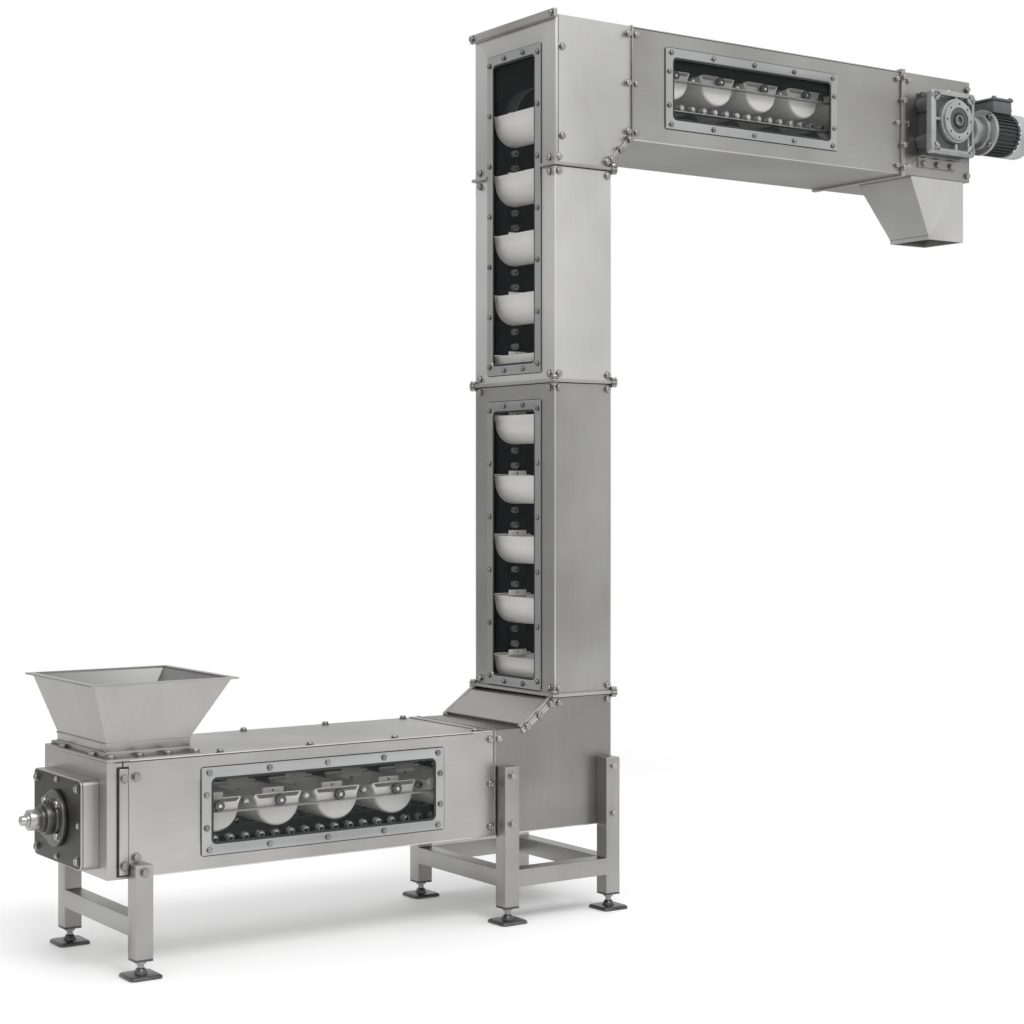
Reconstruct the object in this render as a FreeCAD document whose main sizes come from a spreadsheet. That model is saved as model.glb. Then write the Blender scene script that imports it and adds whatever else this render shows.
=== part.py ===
import FreeCAD, Part
import os
import re
import Sketcher

os.makedirs("parts", exist_ok=True)
doc = FreeCAD.newDocument("z_bucket_elevator")
Vec = FreeCAD.Vector
Rot = FreeCAD.Rotation

# Driving sizes in millimetres, and the places worked out from them. X runs from the tail to the
# head, Y is the depth and Z is up.
dims = doc.addObject("Spreadsheet::Sheet", "Dims")
driving = {
    "casing_width": 384, "sheet": 3, "lid_sheet": 3,
    "tail_reach": 1281, "lower_seam": 196, "riser_depth": 189, "upper_seam": 263,
    "casing_floor": 228, "lower_height": 276, "riser_foot": 580, "riser_joint": 1431,
    "riser_head": 2014, "upper_floor": 2102, "upper_height": 314, "upper_reach": 1300,
    "flange_sheet": 8, "flange_lip": 14, "head_length": 289, "corner_cut": 74,
    "slope_low": 105, "joint_lip": 9,
    "link_pitch": 42, "strand_gap": 84, "chain_centre": "=casing_width/2-82", "link_wide": 16, "link_high": 18,
    "core_wide": 9, "core_high": 10, "pin_dia": 10, "pin_play": 0.1, "roller_dia": 26, "roller_wide": 15,
    "roller_centre": "=casing_width/2-55", "rail_wide": 20, "rail_tab": 40, "rail_sheet": 3, "rail_play": 0.3, "end_clear": 62,
    "carry_low": "=casing_floor+140", "carry_riser": "=riser_depth-111",
    "carry_high": "=upper_floor+210",
    "bucket_radius": 60, "bucket_drop": 6, "bucket_rim": 12, "bucket_flare": 8, "bucket_wall": 3,
    "cheek_wall": 3, "bucket_width": "=casing_width-134", "slot_wide": 24,
    "links_per_bucket": 4, "low_first": "=tail_reach-146", "riser_first": "=riser_foot-88",
    "high_first": "=upper_seam+28", "swing_room": 8,
    "frame_border": 26, "frame_sheet": 4, "pane_sheet": 3, "pane_lap": 10, "frame_round": 14,
    "low_window_from": "=tail_reach-240", "low_window_long": "=tail_reach-lower_seam-398",
    "low_window_sill": "=casing_floor+33", "low_window_high": "=lower_height-65",
    "high_window_from": "=upper_seam+116", "high_window_long": "=upper_reach-upper_seam-381",
    "high_window_sill": "=upper_floor+44", "high_window_high": "=upper_height-87",
    "riser_window_wide": "=casing_width-126", "riser_low_sill": "=riser_foot+12",
    "riser_low_high": "=riser_joint-riser_foot-61",
    "riser_high_sill": "=riser_joint+25", "riser_high_high": "=upper_floor-riser_joint+223",
    "hopper_from": "=tail_reach-16", "hopper_throat_long": 215,
    "hopper_throat_wide": "=casing_width-84", "collar_high": 34,
    "hopper_high": 139, "hopper_mouth_long": 351, "hopper_mouth_wide": "=casing_width", "hopper_back": 47,
    "hopper_lip": 14, "lip_sheet": 4, "plate_long": 254, "plate_from": "=tail_reach", "hopper_sheet": 3,
    "tail_box_deep": 39, "tail_box_wide": "=casing_width-90",
    "tail_box_high": "=lower_height-65", "tail_box_sill": "=casing_floor+19",
    "tail_box_round": 16, "end_plate": 6, "take_up_centre": "=casing_floor+126", "bearing_dia": 136,
    "bearing_flange": 12, "hub_dia": 76, "hub_long": 20, "collar_dia": 62, "collar_long": 14,
    "spindle_dia": 24, "spindle_out": 46, "spindle_in": 13, "carrier_plate": 6, "carrier_arm": 14,
    "carrier_high": 44, "carrier_arm_from": "=casing_width/2-42",
    "leg": 45, "leg_wall": 3, "tail_leg_from": "=tail_reach-52", "tail_leg_top": "=casing_floor+34", "main_leg_in": 4,
    "main_leg_top": "=casing_floor+182", "leg_foot": 44, "beam_sill": 95, "cap_high": 5,
    "pad_side": 94, "pad_high": 14, "pad_round": 12, "stem_dia": 16, "stem_base": 40, "stem_cone": 14,
    "gearbox_from": "=upper_reach+60", "gearbox_long": 190, "gearbox_high": 196, "gearbox_deep": 76,
    "gearbox_round": 14, "output_rise": 8, "output_dia": 122, "output_out": 9, "seal_dia": 60,
    "bore_dia": 35, "motor_dia": 139, "motor_sink": 16, "motor_neck_dia": 70, "motor_neck": 58, "motor_flange": 12,
    "motor_flange_dia": 160, "motor_long": 100, "cowl_long": 62, "cowl_sheet": 2, "motor_fin_high": 7, "motor_fins": 16,
    "fin_sheet": 3, "fan_dia": 112, "fan_wide": 16, "terminal_long": 112, "terminal_high": 38,
    "terminal_wide": 96, "rotor_dia": 22,
    "shaft_dia": 35, "shaft_play": 0.05, "sprocket_teeth": 6, "sprocket_wide": 8,
    "tail_inset": 70, "head_inset": 152, "tail_shaft_dia": 30,
    "chute_from": "=upper_reach+50", "chute_long": 230, "chute_wide": "=casing_width-158",
    "chute_foot_long": 154,
    "chute_foot_wide": "=casing_width-220", "chute_high": 172, "chute_flange": 6, "chute_lip": 12, "chute_margin": 4,
    "bar_high": 26, "bar_deep": 12, "bar_over": 14, "hatch_sheet": 8, "cheek_bar": 14,
    "bolt_dia": 10, "bolt_head": 6, "bracket_sheet": 5, "bracket_wide": 34,
}
for row, (alias, size) in enumerate(driving.items(), start=1):
    dims.set(f"A{row}", alias)
    dims.set(f"B{row}", str(size))
    dims.setAlias(f"B{row}", alias)
doc.recompute()

names = sorted(driving, key=len, reverse=True)
alias_word = re.compile(r"\b(" + "|".join(names) + r")\b")


# Turns plain names of sizes into links to the sheet.
def linked(text):
    return alias_word.sub(r"Dims.\1", str(text))


# Works a formula out now, for choices that an expression can't hold.
def value(text):
    dims.set("Z1", f"={text}")
    dims.recompute()
    found = dims.get("Z1")
    dims.clear("Z1")
    return float(getattr(found, "Value", found))


def bind(thing, **formulas):
    for prop, text in formulas.items():
        thing.setExpression(prop.replace("__", "."), linked(text))
    return thing


def place(thing, x, y, z, turn=None):
    if turn is not None:
        thing.Placement = FreeCAD.Placement(Vec(0, 0, 0), turn)
    return bind(thing, Placement__Base__x=x, Placement__Base__y=y, Placement__Base__z=z)


def box(x, y, z, long, wide, high):
    thing = bind(doc.addObject("Part::Box", "Block"), Length=long, Width=wide, Height=high)
    return place(thing, x, y, z)


# A box that is centred on the middle plane of the machine.
def mid_box(x, z, long, wide, high):
    return box(x, f"-({wide})/2", z, long, wide, high)


turns = {"x": Rot(Vec(0, 1, 0), 90), "y": Rot(Vec(1, 0, 0), -90), "z": Rot()}


def rod(axis, x, y, z, dia, long):
    thing = bind(doc.addObject("Part::Cylinder", "Rod"), Radius=f"({dia})/2", Height=long)
    return place(thing, x, y, z, turns[axis])


def cone(axis, x, y, z, low, top, long):
    thing = doc.addObject("Part::Cone", "Taper")
    bind(thing, Radius1=f"({low})/2", Radius2=f"({top})/2", Height=long)
    return place(thing, x, y, z, turns[axis])


# A frustum standing on z: the lower rectangle, then the upper one, both as from and to.
def frustum(z, high, x1, x2, y1, y2, top):
    thing = doc.addObject("Part::Wedge", "Frustum")
    place(thing, "0", "0", "0", Rot(Vec(1, 0, 0), 90))
    bind(thing, Ymin=z, Ymax=f"({z})+({high})", Xmin=x1, Xmax=x2, Zmin=f"-({y2})", Zmax=f"-({y1})",
         X2min=top[0], X2max=top[1], Z2min=f"-({top[3]})", Z2max=f"-({top[2]})")
    return thing


# A closed outline in the X-Z plane, drawn as a sketch and pulled evenly to both sides.
def outline(points, wide, y="0"):
    sketch = doc.addObject("Sketcher::SketchObject", "Outline")
    sketch.Placement = FreeCAD.Placement(Vec(0, 0, 0), Rot(Vec(1, 0, 0), 90))
    spots = [(value(a), value(b)) for a, b in points]
    count = len(points)
    for n, (a, b) in enumerate(spots):
        c, d = spots[(n + 1) % count]
        sketch.addGeometry(Part.LineSegment(Vec(a, b, 0), Vec(c, d, 0)), False)
    for n in range(count):
        join_ends(sketch, n, (n + 1) % count)
    for n, (a, b) in enumerate(points):
        for kind, text, now in (("DistanceX", a, spots[n][0]), ("DistanceY", b, spots[n][1])):
            index = sketch.addConstraint(Sketcher.Constraint(kind, -1, 1, n, 1, now))
            sketch.setExpression(f"Constraints[{index}]", linked(text))
    pull = doc.addObject("Part::Extrusion", "Pull")
    pull.Base = sketch
    pull.DirMode = "Custom"
    pull.Dir = Vec(0, 1, 0)
    pull.Solid = True
    pull.Symmetric = True
    bind(pull, LengthFwd=wide)
    bind(pull, Placement__Base__y=y)
    return pull


def join_ends(sketch, one, other):
    sketch.addConstraint(Sketcher.Constraint("Coincident", one, 2, other, 1))


def cut(base, *tools):
    thing = doc.addObject("Part::Cut", "Cut")
    thing.Base = base
    thing.Tool = tools[0] if len(tools) == 1 else fuse(*tools)
    return thing


def fuse(*parts):
    thing = doc.addObject("Part::MultiFuse", "Joined")
    thing.Shapes = list(parts)
    return thing


def group(*parts):
    thing = doc.addObject("Part::Compound", "Group")
    thing.Links = list(parts)
    return thing


def mirrored(thing):
    copy = doc.addObject("Part::Mirroring", "Mirrored")
    copy.Source = thing
    copy.Normal = Vec(0, 1, 0)
    return copy


# Rounds the straight edges that run along one axis and pass the given test on their middle point.
def rounded(thing, radius, axis, test=lambda p: True):
    doc.recompute()
    way = {"x": Vec(1, 0, 0), "y": Vec(0, 1, 0), "z": Vec(0, 0, 1)}[axis]
    picks = []
    for n, edge in enumerate(thing.Shape.Edges, start=1):
        if edge.Curve.TypeId != "Part::GeomLine":
            continue
        along = edge.tangentAt(edge.FirstParameter)
        if abs(abs(along.dot(way)) - 1) < 1e-6 and test(edge.CenterOfMass):
            picks.append((n, value(radius), value(radius)))
    work = doc.addObject("Part::Fillet", "Rounded")
    work.Base = thing
    work.Edges = picks
    return work


nodes = {}


# Each piece is stored with the origin on the sole of the near foot at the lower seam.
def keep(name, thing):
    piece = doc.addObject("Part::Compound", "Piece")
    piece.Links = [thing]
    bind(piece, Placement__Base__x="lower_seam-main_leg_in-leg/2",
         Placement__Base__y="(casing_width+leg)/2")
    nodes[name] = piece
    piece.Label = name
    return thing


# Casings: folded sheet tubes, open where the chain and the buckets pass.
half = "casing_width/2"
inside = "casing_width-2*sheet"
low_top = "casing_floor+lower_height"
high_top = "upper_floor+upper_height"
axis_tail = "(-tail_reach+tail_inset)"
axis_head = "(upper_reach+flange_sheet*2+head_inset)"


def window_hole(start, long, sill, high):
    hole = box(f"({start})+frame_border", f"-({half})-1", f"({sill})+frame_border",
               f"({long})-2*frame_border", "sheet+2", f"({high})-2*frame_border")
    return rounded(hole, "frame_round", "y")


def riser_hole(sill, high):
    hole = box("-1", "-riser_window_wide/2+frame_border", f"({sill})+frame_border", "sheet+2",
               "riser_window_wide-2*frame_border", f"({high})-2*frame_border")
    return rounded(hole, "frame_round", "x")


def tube_x(start, long, sill, high):
    shell = mid_box(start, sill, long, "casing_width", high)
    room = mid_box(f"({start})-1", f"({sill})+sheet", f"({long})+2", inside, f"({high})-2*sheet")
    return cut(shell, room)


# The lower leg is closed at the tail except for the shaft's slot and open at its seam.
lower_shell = mid_box("-tail_reach", "casing_floor", "tail_reach-lower_seam", "casing_width",
                      "lower_height-lid_sheet")
lower_room = mid_box("-tail_reach+sheet", "casing_floor+sheet", "tail_reach-lower_seam", inside,
                     "lower_height-lid_sheet-2*sheet")
inlet = mid_box("-hopper_from", "casing_floor+lower_height/2", "hopper_throat_long",
                "hopper_throat_wide", "lower_height")
low_window = window_hole("-low_window_from", "low_window_long", "low_window_sill", "low_window_high")
spindle_hole = rod("x", "-tail_reach-1", "0", "take_up_centre", "spindle_dia+4", "sheet+2")
keep("lower_casing", cut(lower_shell, lower_room, inlet, low_window, spindle_hole))
keep("lower_lid", mid_box("-plate_from+plate_long", "casing_floor+lower_height-lid_sheet",
                          "plate_from-plate_long-lower_seam", "casing_width", "lid_sheet"))

# The lower elbow carries the sloping hatch over the inside of the bend.
elbow_points = [("-lower_seam", "casing_floor"), ("riser_depth", "casing_floor"),
                ("riser_depth", "riser_foot"), ("0", "riser_foot"), ("-slope_low", low_top),
                ("-lower_seam", low_top)]
elbow_room = [("-lower_seam-1", "casing_floor+sheet"), ("riser_depth-sheet", "casing_floor+sheet"),
              ("riser_depth-sheet", "riser_foot+1"), ("sheet", "riser_foot+1"),
              ("sheet", "riser_foot-1"), ("-slope_low+sheet", f"{low_top}-sheet"),
              ("-lower_seam-1", f"{low_top}-sheet")]
keep("lower_elbow", cut(outline(elbow_points, "casing_width"), outline(elbow_room, inside)))
rise = f"(riser_foot-({low_top}))"
run = f"sqrt(slope_low^2+{rise}^2)"
off_x = f"(-hatch_sheet*{rise}/{run})"
off_z = f"(hatch_sheet*slope_low/{run})"
hatch = [("-slope_low*0.95", f"{low_top}+{rise}*0.05"), ("-slope_low*0.18", f"{low_top}+{rise}*0.82"),
         (f"-slope_low*0.18+{off_x}", f"{low_top}+{rise}*0.82+{off_z}"),
         (f"-slope_low*0.95+{off_x}", f"{low_top}+{rise}*0.05+{off_z}")]
keep("elbow_hatch", outline(hatch, "casing_width-2*cheek_bar"))


def tube_z(sill, top):
    shell = mid_box("0", sill, "riser_depth", "casing_width", f"({top})-({sill})")
    room = mid_box("sheet", f"({sill})-1", "riser_depth-2*sheet", inside, f"({top})-({sill})+2")
    return shell, room


shell, room = tube_z("riser_foot", "riser_joint")
keep("riser_lower", cut(shell, room, riser_hole("riser_low_sill", "riser_low_high")))
shell, room = tube_z("riser_joint", "riser_head")
keep("riser_upper", cut(shell, room, riser_hole("riser_high_sill", "riser_high_high")))

# The upper elbow turns the riser into the upper leg, with its inner corner cut at a slope.
high_elbow = [("0", "riser_head"), ("riser_depth", "riser_head"),
              ("riser_depth", "upper_floor-corner_cut"), ("upper_seam", "upper_floor"),
              ("upper_seam", high_top), ("0", high_top)]
high_room = [("sheet", "riser_head-1"), ("riser_depth-sheet", "riser_head-1"),
             ("riser_depth-sheet", "upper_floor-corner_cut+sheet"),
             ("upper_seam-sheet", "upper_floor+sheet"), ("upper_seam+1", "upper_floor+sheet"),
             ("upper_seam+1", f"{high_top}-sheet"), ("sheet", f"{high_top}-sheet")]
keep("upper_elbow", cut(outline(high_elbow, "casing_width"), outline(high_room, inside),
                        riser_hole("riser_high_sill", "riser_high_high")))

high_window = window_hole("high_window_from", "high_window_long", "high_window_sill",
                          "high_window_high")
keep("upper_casing", cut(tube_x("upper_seam", "upper_reach-upper_seam", "upper_floor",
                                "upper_height"), high_window))

# Two flange plates join the upper leg to the head and stand proud all round.
plate = mid_box("upper_reach", "upper_floor-flange_lip/2", "2*flange_sheet",
                "casing_width+flange_lip", "upper_height+flange_lip")
keep("head_flange", cut(plate, mid_box("upper_reach-1", "upper_floor+sheet", "2*flange_sheet+2",
                                       inside, "upper_height-2*sheet")))
head_start = "upper_reach+2*flange_sheet"
head_shell = mid_box(head_start, "upper_floor", "head_length", "casing_width", "upper_height")
head_room = mid_box(f"{head_start}-1", "upper_floor+sheet", "head_length+1-sheet", inside,
                    "upper_height-2*sheet")
outlet = box("chute_from+chute_margin", f"-({half})+sheet+chute_margin", "upper_floor-1",
             "chute_long-2*chute_margin", "chute_wide-2*chute_margin", "sheet+2")
axis_high = "carry_high-strand_gap/2"
shaft_hole = rod("y", axis_head, f"-({half})-1", axis_high, "shaft_dia+8", "casing_width+2")
keep("head_casing", cut(head_shell, head_room, outlet, shaft_hole))

# A bar clamps the top edge of the upper elbow.
keep("top_clamp_bar", mid_box("-bar_deep", f"{high_top}-bar_high/2", "bar_deep",
                              "casing_width+2*bar_over", "bar_high"))


# Flanged joints of the riser: angle strips round three joints, with bolts on the outer faces.
def joint_ring(level):
    ring = mid_box("-joint_lip", f"({level})-joint_lip/2", "riser_depth+2*joint_lip",
                   "casing_width+2*joint_lip", "joint_lip")
    hollow = mid_box("0", f"({level})-joint_lip", "riser_depth", "casing_width", "2*joint_lip")
    gap = mid_box("-2*joint_lip", f"({level})-joint_lip", "3*joint_lip", "riser_window_wide+2",
                  "2*joint_lip")
    return cut(ring, hollow, gap) if level == "riser_head" else cut(ring, hollow)


# Window frames are flat rings, and each holds a clear pane from behind.
def side_frame(name, start, long, sill, high):
    ring = box(start, f"-({half})-frame_sheet", sill, long, "frame_sheet", high)
    hole = box(f"({start})+frame_border", f"-({half})-frame_sheet-1", f"({sill})+frame_border",
               f"({long})-2*frame_border", "frame_sheet+2", f"({high})-2*frame_border")
    keep(f"{name}_window_frame", cut(ring, rounded(hole, "frame_round", "y")))
    keep(f"{name}_window_pane", box(f"({start})+frame_border-pane_lap", f"-({half})+sheet",
                                    f"({sill})+frame_border-pane_lap",
                                    f"({long})-2*frame_border+2*pane_lap", "pane_sheet",
                                    f"({high})-2*frame_border+2*pane_lap"))


def riser_frame(name, sill, high):
    ring = mid_box("-frame_sheet", sill, "frame_sheet", "riser_window_wide", high)
    hole = mid_box("-frame_sheet-1", f"({sill})+frame_border", "frame_sheet+2",
                   "riser_window_wide-2*frame_border", f"({high})-2*frame_border")
    keep(f"{name}_window_frame", cut(ring, rounded(hole, "frame_round", "x")))
    keep(f"{name}_window_pane", mid_box("sheet", f"({sill})+frame_border-pane_lap", "pane_sheet",
                                        "riser_window_wide-2*frame_border+2*pane_lap",
                                        f"({high})-2*frame_border+2*pane_lap"))


side_frame("lower", "-low_window_from", "low_window_long", "low_window_sill", "low_window_high")
side_frame("upper", "high_window_from", "high_window_long", "high_window_sill",
           "high_window_high")
riser_frame("riser_low", "riser_low_sill", "riser_low_high")
riser_frame("riser_high", "riser_high_sill", "riser_high_high")

# The hopper: a lopsided funnel with a flared lip, a straight collar and a base plate.
collar_y = "hopper_throat_wide/2"
base_z = low_top
collar_z = f"{low_top}+lip_sheet"
mouth_z = f"{collar_z}+collar_high"
mouth_x = "-hopper_from-hopper_back"


def funnel(inset, z, high):
    body = frustum(z, high, f"-hopper_from+{inset}", f"-hopper_from+hopper_throat_long-{inset}",
                   f"-{collar_y}+{inset}", f"{collar_y}-{inset}",
                   (f"{mouth_x}+{inset}", f"{mouth_x}+hopper_mouth_long-{inset}",
                    f"-hopper_mouth_wide/2+{inset}", f"hopper_mouth_wide/2-{inset}"))
    return body


neck = mid_box("-hopper_from", collar_z, "hopper_throat_long", "hopper_throat_wide", "collar_high")
neck_room = mid_box("-hopper_from+hopper_sheet", f"{collar_z}-1",
                    "hopper_throat_long-2*hopper_sheet", "hopper_throat_wide-2*hopper_sheet",
                    "collar_high+2")
lip_box = mid_box(f"{mouth_x}-hopper_lip", f"{mouth_z}+hopper_high",
                  "hopper_mouth_long+2*hopper_lip", "hopper_mouth_wide+2*hopper_lip", "lip_sheet")
lip_room = mid_box(f"{mouth_x}+hopper_sheet", f"{mouth_z}+hopper_high-1",
                   "hopper_mouth_long-2*hopper_sheet", "hopper_mouth_wide-2*hopper_sheet",
                   "lip_sheet+2")
keep("hopper", cut(fuse(neck, funnel("0", mouth_z, "hopper_high"), lip_box),
                   neck_room, funnel("hopper_sheet", mouth_z, "hopper_high"), lip_room))
base = mid_box("-plate_from", base_z, "plate_long", "casing_width", "lip_sheet")
base_hole = mid_box("-hopper_from+hopper_sheet", f"{base_z}-1", "hopper_throat_long-2*hopper_sheet",
                    "hopper_throat_wide-2*hopper_sheet", "lip_sheet+2")
under = mid_box("-plate_from", "casing_floor+lower_height-lid_sheet", "plate_long", "casing_width",
                "lid_sheet")
under_hole = mid_box("-hopper_from", "casing_floor+lower_height-lid_sheet-1",
                     "hopper_throat_long", "hopper_throat_wide", "lid_sheet+2")
keep("hopper_base", fuse(cut(base, base_hole), cut(under, under_hole)))

# The tail box and its plate carry the take-up spindle in a round flanged bearing.
tail_face = "-tail_reach-tail_box_deep"
tail_shell = rounded(mid_box(tail_face, "tail_box_sill", "tail_box_deep", "tail_box_wide",
                             "tail_box_high"), "tail_box_round", "x")
tail_room = rounded(mid_box(f"{tail_face}-1", "tail_box_sill+sheet", "tail_box_deep+2",
                            "tail_box_wide-2*sheet", "tail_box_high-2*sheet"),
                    "tail_box_round-sheet", "x")
keep("tail_box", cut(tail_shell, tail_room))
end_x = f"{tail_face}-end_plate"
end_block = rounded(mid_box(end_x, "tail_box_sill", "end_plate", "tail_box_wide",
                            "tail_box_high"), "tail_box_round", "x")
end_bore = rod("x", f"{end_x}-1", "0", "take_up_centre", "spindle_dia+4", "end_plate+2")
keep("tail_end_plate", cut(end_block, end_bore))
flange_x = f"{end_x}-bearing_flange"
hub_x = f"{flange_x}-hub_long"
collar_x = f"{hub_x}-collar_long"
bearing = fuse(rod("x", flange_x, "0", "take_up_centre", "bearing_dia", "bearing_flange"),
               rod("x", hub_x, "0", "take_up_centre", "hub_dia", "hub_long+1"),
               rod("x", collar_x, "0", "take_up_centre", "collar_dia", "collar_long+1"))
bearing_bore = rod("x", f"{collar_x}-1", "0", "take_up_centre", "spindle_dia+2*shaft_play",
                   "bearing_flange+hub_long+collar_long+2")
keep("takeup_bearing", cut(bearing, bearing_bore))
keep("takeup_spindle", rod("x", f"{collar_x}-spindle_out", "0", "take_up_centre", "spindle_dia",
                           "spindle_out+collar_long+hub_long+bearing_flange+end_plate"
                           "+tail_box_deep+spindle_in"))


# Stands: square legs bolted to the sides of the casing, tied by beams, on levelling feet.
def leg_tube(x, y, top):
    post = box(x, y, "leg_foot", "leg", "leg", f"({top})-leg_foot")
    room = box(f"({x})+leg_wall", f"({y})+leg_wall", "leg_foot-1", "leg-2*leg_wall",
               "leg-2*leg_wall", f"({top})-leg_foot+2")
    return cut(post, room)


def beam_x(x, y, long):
    bar = box(x, y, "beam_sill", long, "leg", "leg")
    room = box(f"({x})-1", f"({y})+leg_wall", "beam_sill+leg_wall", f"({long})+2",
               "leg-2*leg_wall", "leg-2*leg_wall")
    return cut(bar, room)


def beam_y(x):
    bar = mid_box(x, "beam_sill", "leg", "casing_width", "leg")
    room = mid_box(f"({x})+leg_wall", "beam_sill+leg_wall", "leg-2*leg_wall", "casing_width+2",
                   "leg-2*leg_wall")
    return cut(bar, room)


def foot(x, y):
    mid_x, mid_y = f"({x})+leg/2", f"({y})+leg/2"
    pad = rounded(box(f"{mid_x}-pad_side/2", f"{mid_y}-pad_side/2", "0", "pad_side", "pad_side",
                      "pad_high"), "pad_round", "z")
    base = cone("z", mid_x, mid_y, "pad_high", "stem_base", "stem_dia+6", "stem_cone")
    stem = rod("z", mid_x, mid_y, "pad_high", "stem_dia", "leg_foot-pad_high")
    cap = box(x, y, "leg_foot-cap_high", "leg", "leg", "cap_high")
    return fuse(pad, base, stem, cap)


near, far = f"-{half}-leg", half
tail_x = "-tail_leg_from"
back_x, front_x = "-lower_seam+main_leg_in", "riser_depth-main_leg_in-leg"
keep("tail_stand", fuse(leg_tube(tail_x, near, "tail_leg_top"),
                        leg_tube(tail_x, far, "tail_leg_top"), beam_y(tail_x)))
keep("tail_feet", group(foot(tail_x, near), foot(tail_x, far)))
span = "riser_depth+lower_seam-2*main_leg_in-2*leg"
posts = [leg_tube(x, y, "main_leg_top") for x in (back_x, front_x) for y in (near, far)]
ties = [beam_x(f"{back_x}+leg", y, span) for y in (near, far)]
keep("main_stand", fuse(*posts, *ties, beam_y(back_x), beam_y(front_x)))
keep("main_feet", group(*[foot(x, y) for x in (back_x, front_x) for y in (near, far)]))

# The discharge chute narrows on two sides and ends in an open lip.
chute_y = f"(-{half}+sheet)"
chute_top = "upper_floor-chute_flange"
chute_right = "chute_from+chute_long"


def chute_body(inset, more):
    foot_to = f"{chute_y}+chute_foot_wide-{inset}"
    top_to = f"{chute_y}+chute_wide-{inset}"
    return frustum(f"{chute_top}-chute_high-({more})", f"chute_high+2*({more})",
                   f"{chute_right}-chute_foot_long+{inset}", f"{chute_right}-{inset}",
                   f"{chute_y}+{inset}", foot_to,
                   (f"chute_from+{inset}", f"{chute_right}-{inset}", f"{chute_y}+{inset}", top_to))


rim = box("chute_from", chute_y, chute_top, "chute_long", "chute_wide", "chute_flange")
rim_hole = box("chute_from+chute_margin", f"{chute_y}+chute_margin", f"{chute_top}-1",
               "chute_long-2*chute_margin", "chute_wide-2*chute_margin", "chute_flange+2")
chute_end = f"{chute_top}-chute_high-chute_lip"
lip_out = box(f"{chute_right}-chute_foot_long", chute_y, chute_end, "chute_foot_long",
              "chute_foot_wide", "chute_lip")
lip_in = box(f"{chute_right}-chute_foot_long+sheet", f"{chute_y}+sheet", f"{chute_end}-1",
             "chute_foot_long-2*sheet", "chute_foot_wide-2*sheet", "chute_lip+2")
keep("discharge_chute", cut(fuse(rim, chute_body("0", "0"), lip_out), rim_hole,
                            chute_body("sheet", "0"), lip_in))

# The right-angle gearbox hangs on the near side of the head, with its motor along X.
gear_y = f"(-{half}-gearbox_deep)"
gear_z = f"({axis_high}-gearbox_high/2-output_rise)"
case = rounded(box("gearbox_from", gear_y, gear_z, "gearbox_long", "gearbox_deep", "gearbox_high"),
               "gearbox_round", "y")
bore = rod("y", axis_head, f"{gear_y}-1", axis_high, "shaft_dia+2*shaft_play", "gearbox_deep+2")
keep("gearbox_housing", cut(case, bore))
ring = rod("y", axis_head, f"{gear_y}-output_out", axis_high, "output_dia", "output_out")
ring_bore = rod("y", axis_head, f"{gear_y}-output_out-1", axis_high, "shaft_dia+2*shaft_play",
                "output_out+2")
keep("output_flange", cut(ring, ring_bore))
shelf = box("gearbox_from+gearbox_round", f"-{half}-bracket_wide", f"{gear_z}-bracket_sheet",
            "gearbox_long-2*gearbox_round", "bracket_wide", "bracket_sheet")
apron = box("gearbox_from+gearbox_round", f"-{half}-bracket_sheet",
            f"{gear_z}-bracket_wide", "gearbox_long-2*gearbox_round", "bracket_sheet",
            "bracket_wide")
keep("gearbox_bracket", fuse(shelf, apron))

motor_x = "gearbox_from+gearbox_long"
motor_y = f"(-{half}-gearbox_deep/2)"
motor_z = f"({axis_high}-motor_sink)"
body_x = f"{motor_x}+motor_neck+motor_flange"
neck = rod("x", motor_x, motor_y, motor_z, "motor_neck_dia", "motor_neck+1")
disc = rod("x", f"{motor_x}+motor_neck", motor_y, motor_z, "motor_flange_dia-2*motor_fin_high",
           "motor_flange")
barrel = rod("x", body_x, motor_y, motor_z, "motor_dia-2*motor_fin_high", "motor_long")
fins = []
for n in range(16):
    fin = bind(doc.addObject("Part::Box", "Fin"), Length="motor_long", Width="fin_sheet",
               Height="motor_fin_high*2")
    angle = 360.0 * n / 16
    turn = Rot(Vec(1, 0, 0), angle)
    fin.Placement = FreeCAD.Placement(Vec(0, 0, 0), turn)
    arm = "(motor_dia/2-2*motor_fin_high)"
    bind(fin, Placement__Base__x=body_x,
         Placement__Base__y=f"{motor_y}-sin({angle})*{arm}-cos({angle})*fin_sheet/2",
         Placement__Base__z=f"{motor_z}+cos({angle})*{arm}-sin({angle})*fin_sheet/2")
    fins.append(fin)
rotor_room = rod("x", f"{motor_x}+motor_neck", motor_y, motor_z, "rotor_dia+2*shaft_play",
                 "motor_flange+motor_long+1")
keep("motor_body", cut(fuse(neck, disc, barrel, *fins), rotor_room))
cowl_x = f"{body_x}+motor_long"
cowl = rod("x", cowl_x, motor_y, motor_z, "motor_dia", "cowl_long")
cowl_room = rod("x", f"{cowl_x}-1", motor_y, motor_z, "motor_dia-2*cowl_sheet",
                "cowl_long+1-cowl_sheet")
slots = []
for n in range(8):
    angle = 360.0 * n / 8
    slots.append(rod("x", f"{cowl_x}+cowl_long-cowl_sheet-1",
                     f"{motor_y}+cos({angle})*motor_dia*0.3",
                     f"{motor_z}+sin({angle})*motor_dia*0.3", "motor_dia*0.18", "cowl_sheet+2"))
keep("fan_cowl", cut(cowl, cowl_room, *slots))
fan_x = f"{cowl_x}+cowl_long-cowl_sheet-14-fan_wide"
keep("motor_fan", fuse(rod("x", fan_x, motor_y, motor_z, "fan_dia", "fan_wide"),
                       rod("x", f"{motor_x}+motor_neck", motor_y, motor_z, "rotor_dia",
                           "motor_flange+motor_long+cowl_long-cowl_sheet-14-fan_wide+1")))
box_block = box(f"{body_x}-motor_flange", f"{motor_y}-terminal_wide/2", f"{motor_z}+motor_dia/2-4",
                "terminal_long", "terminal_wide", "terminal_high+4")
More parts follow.
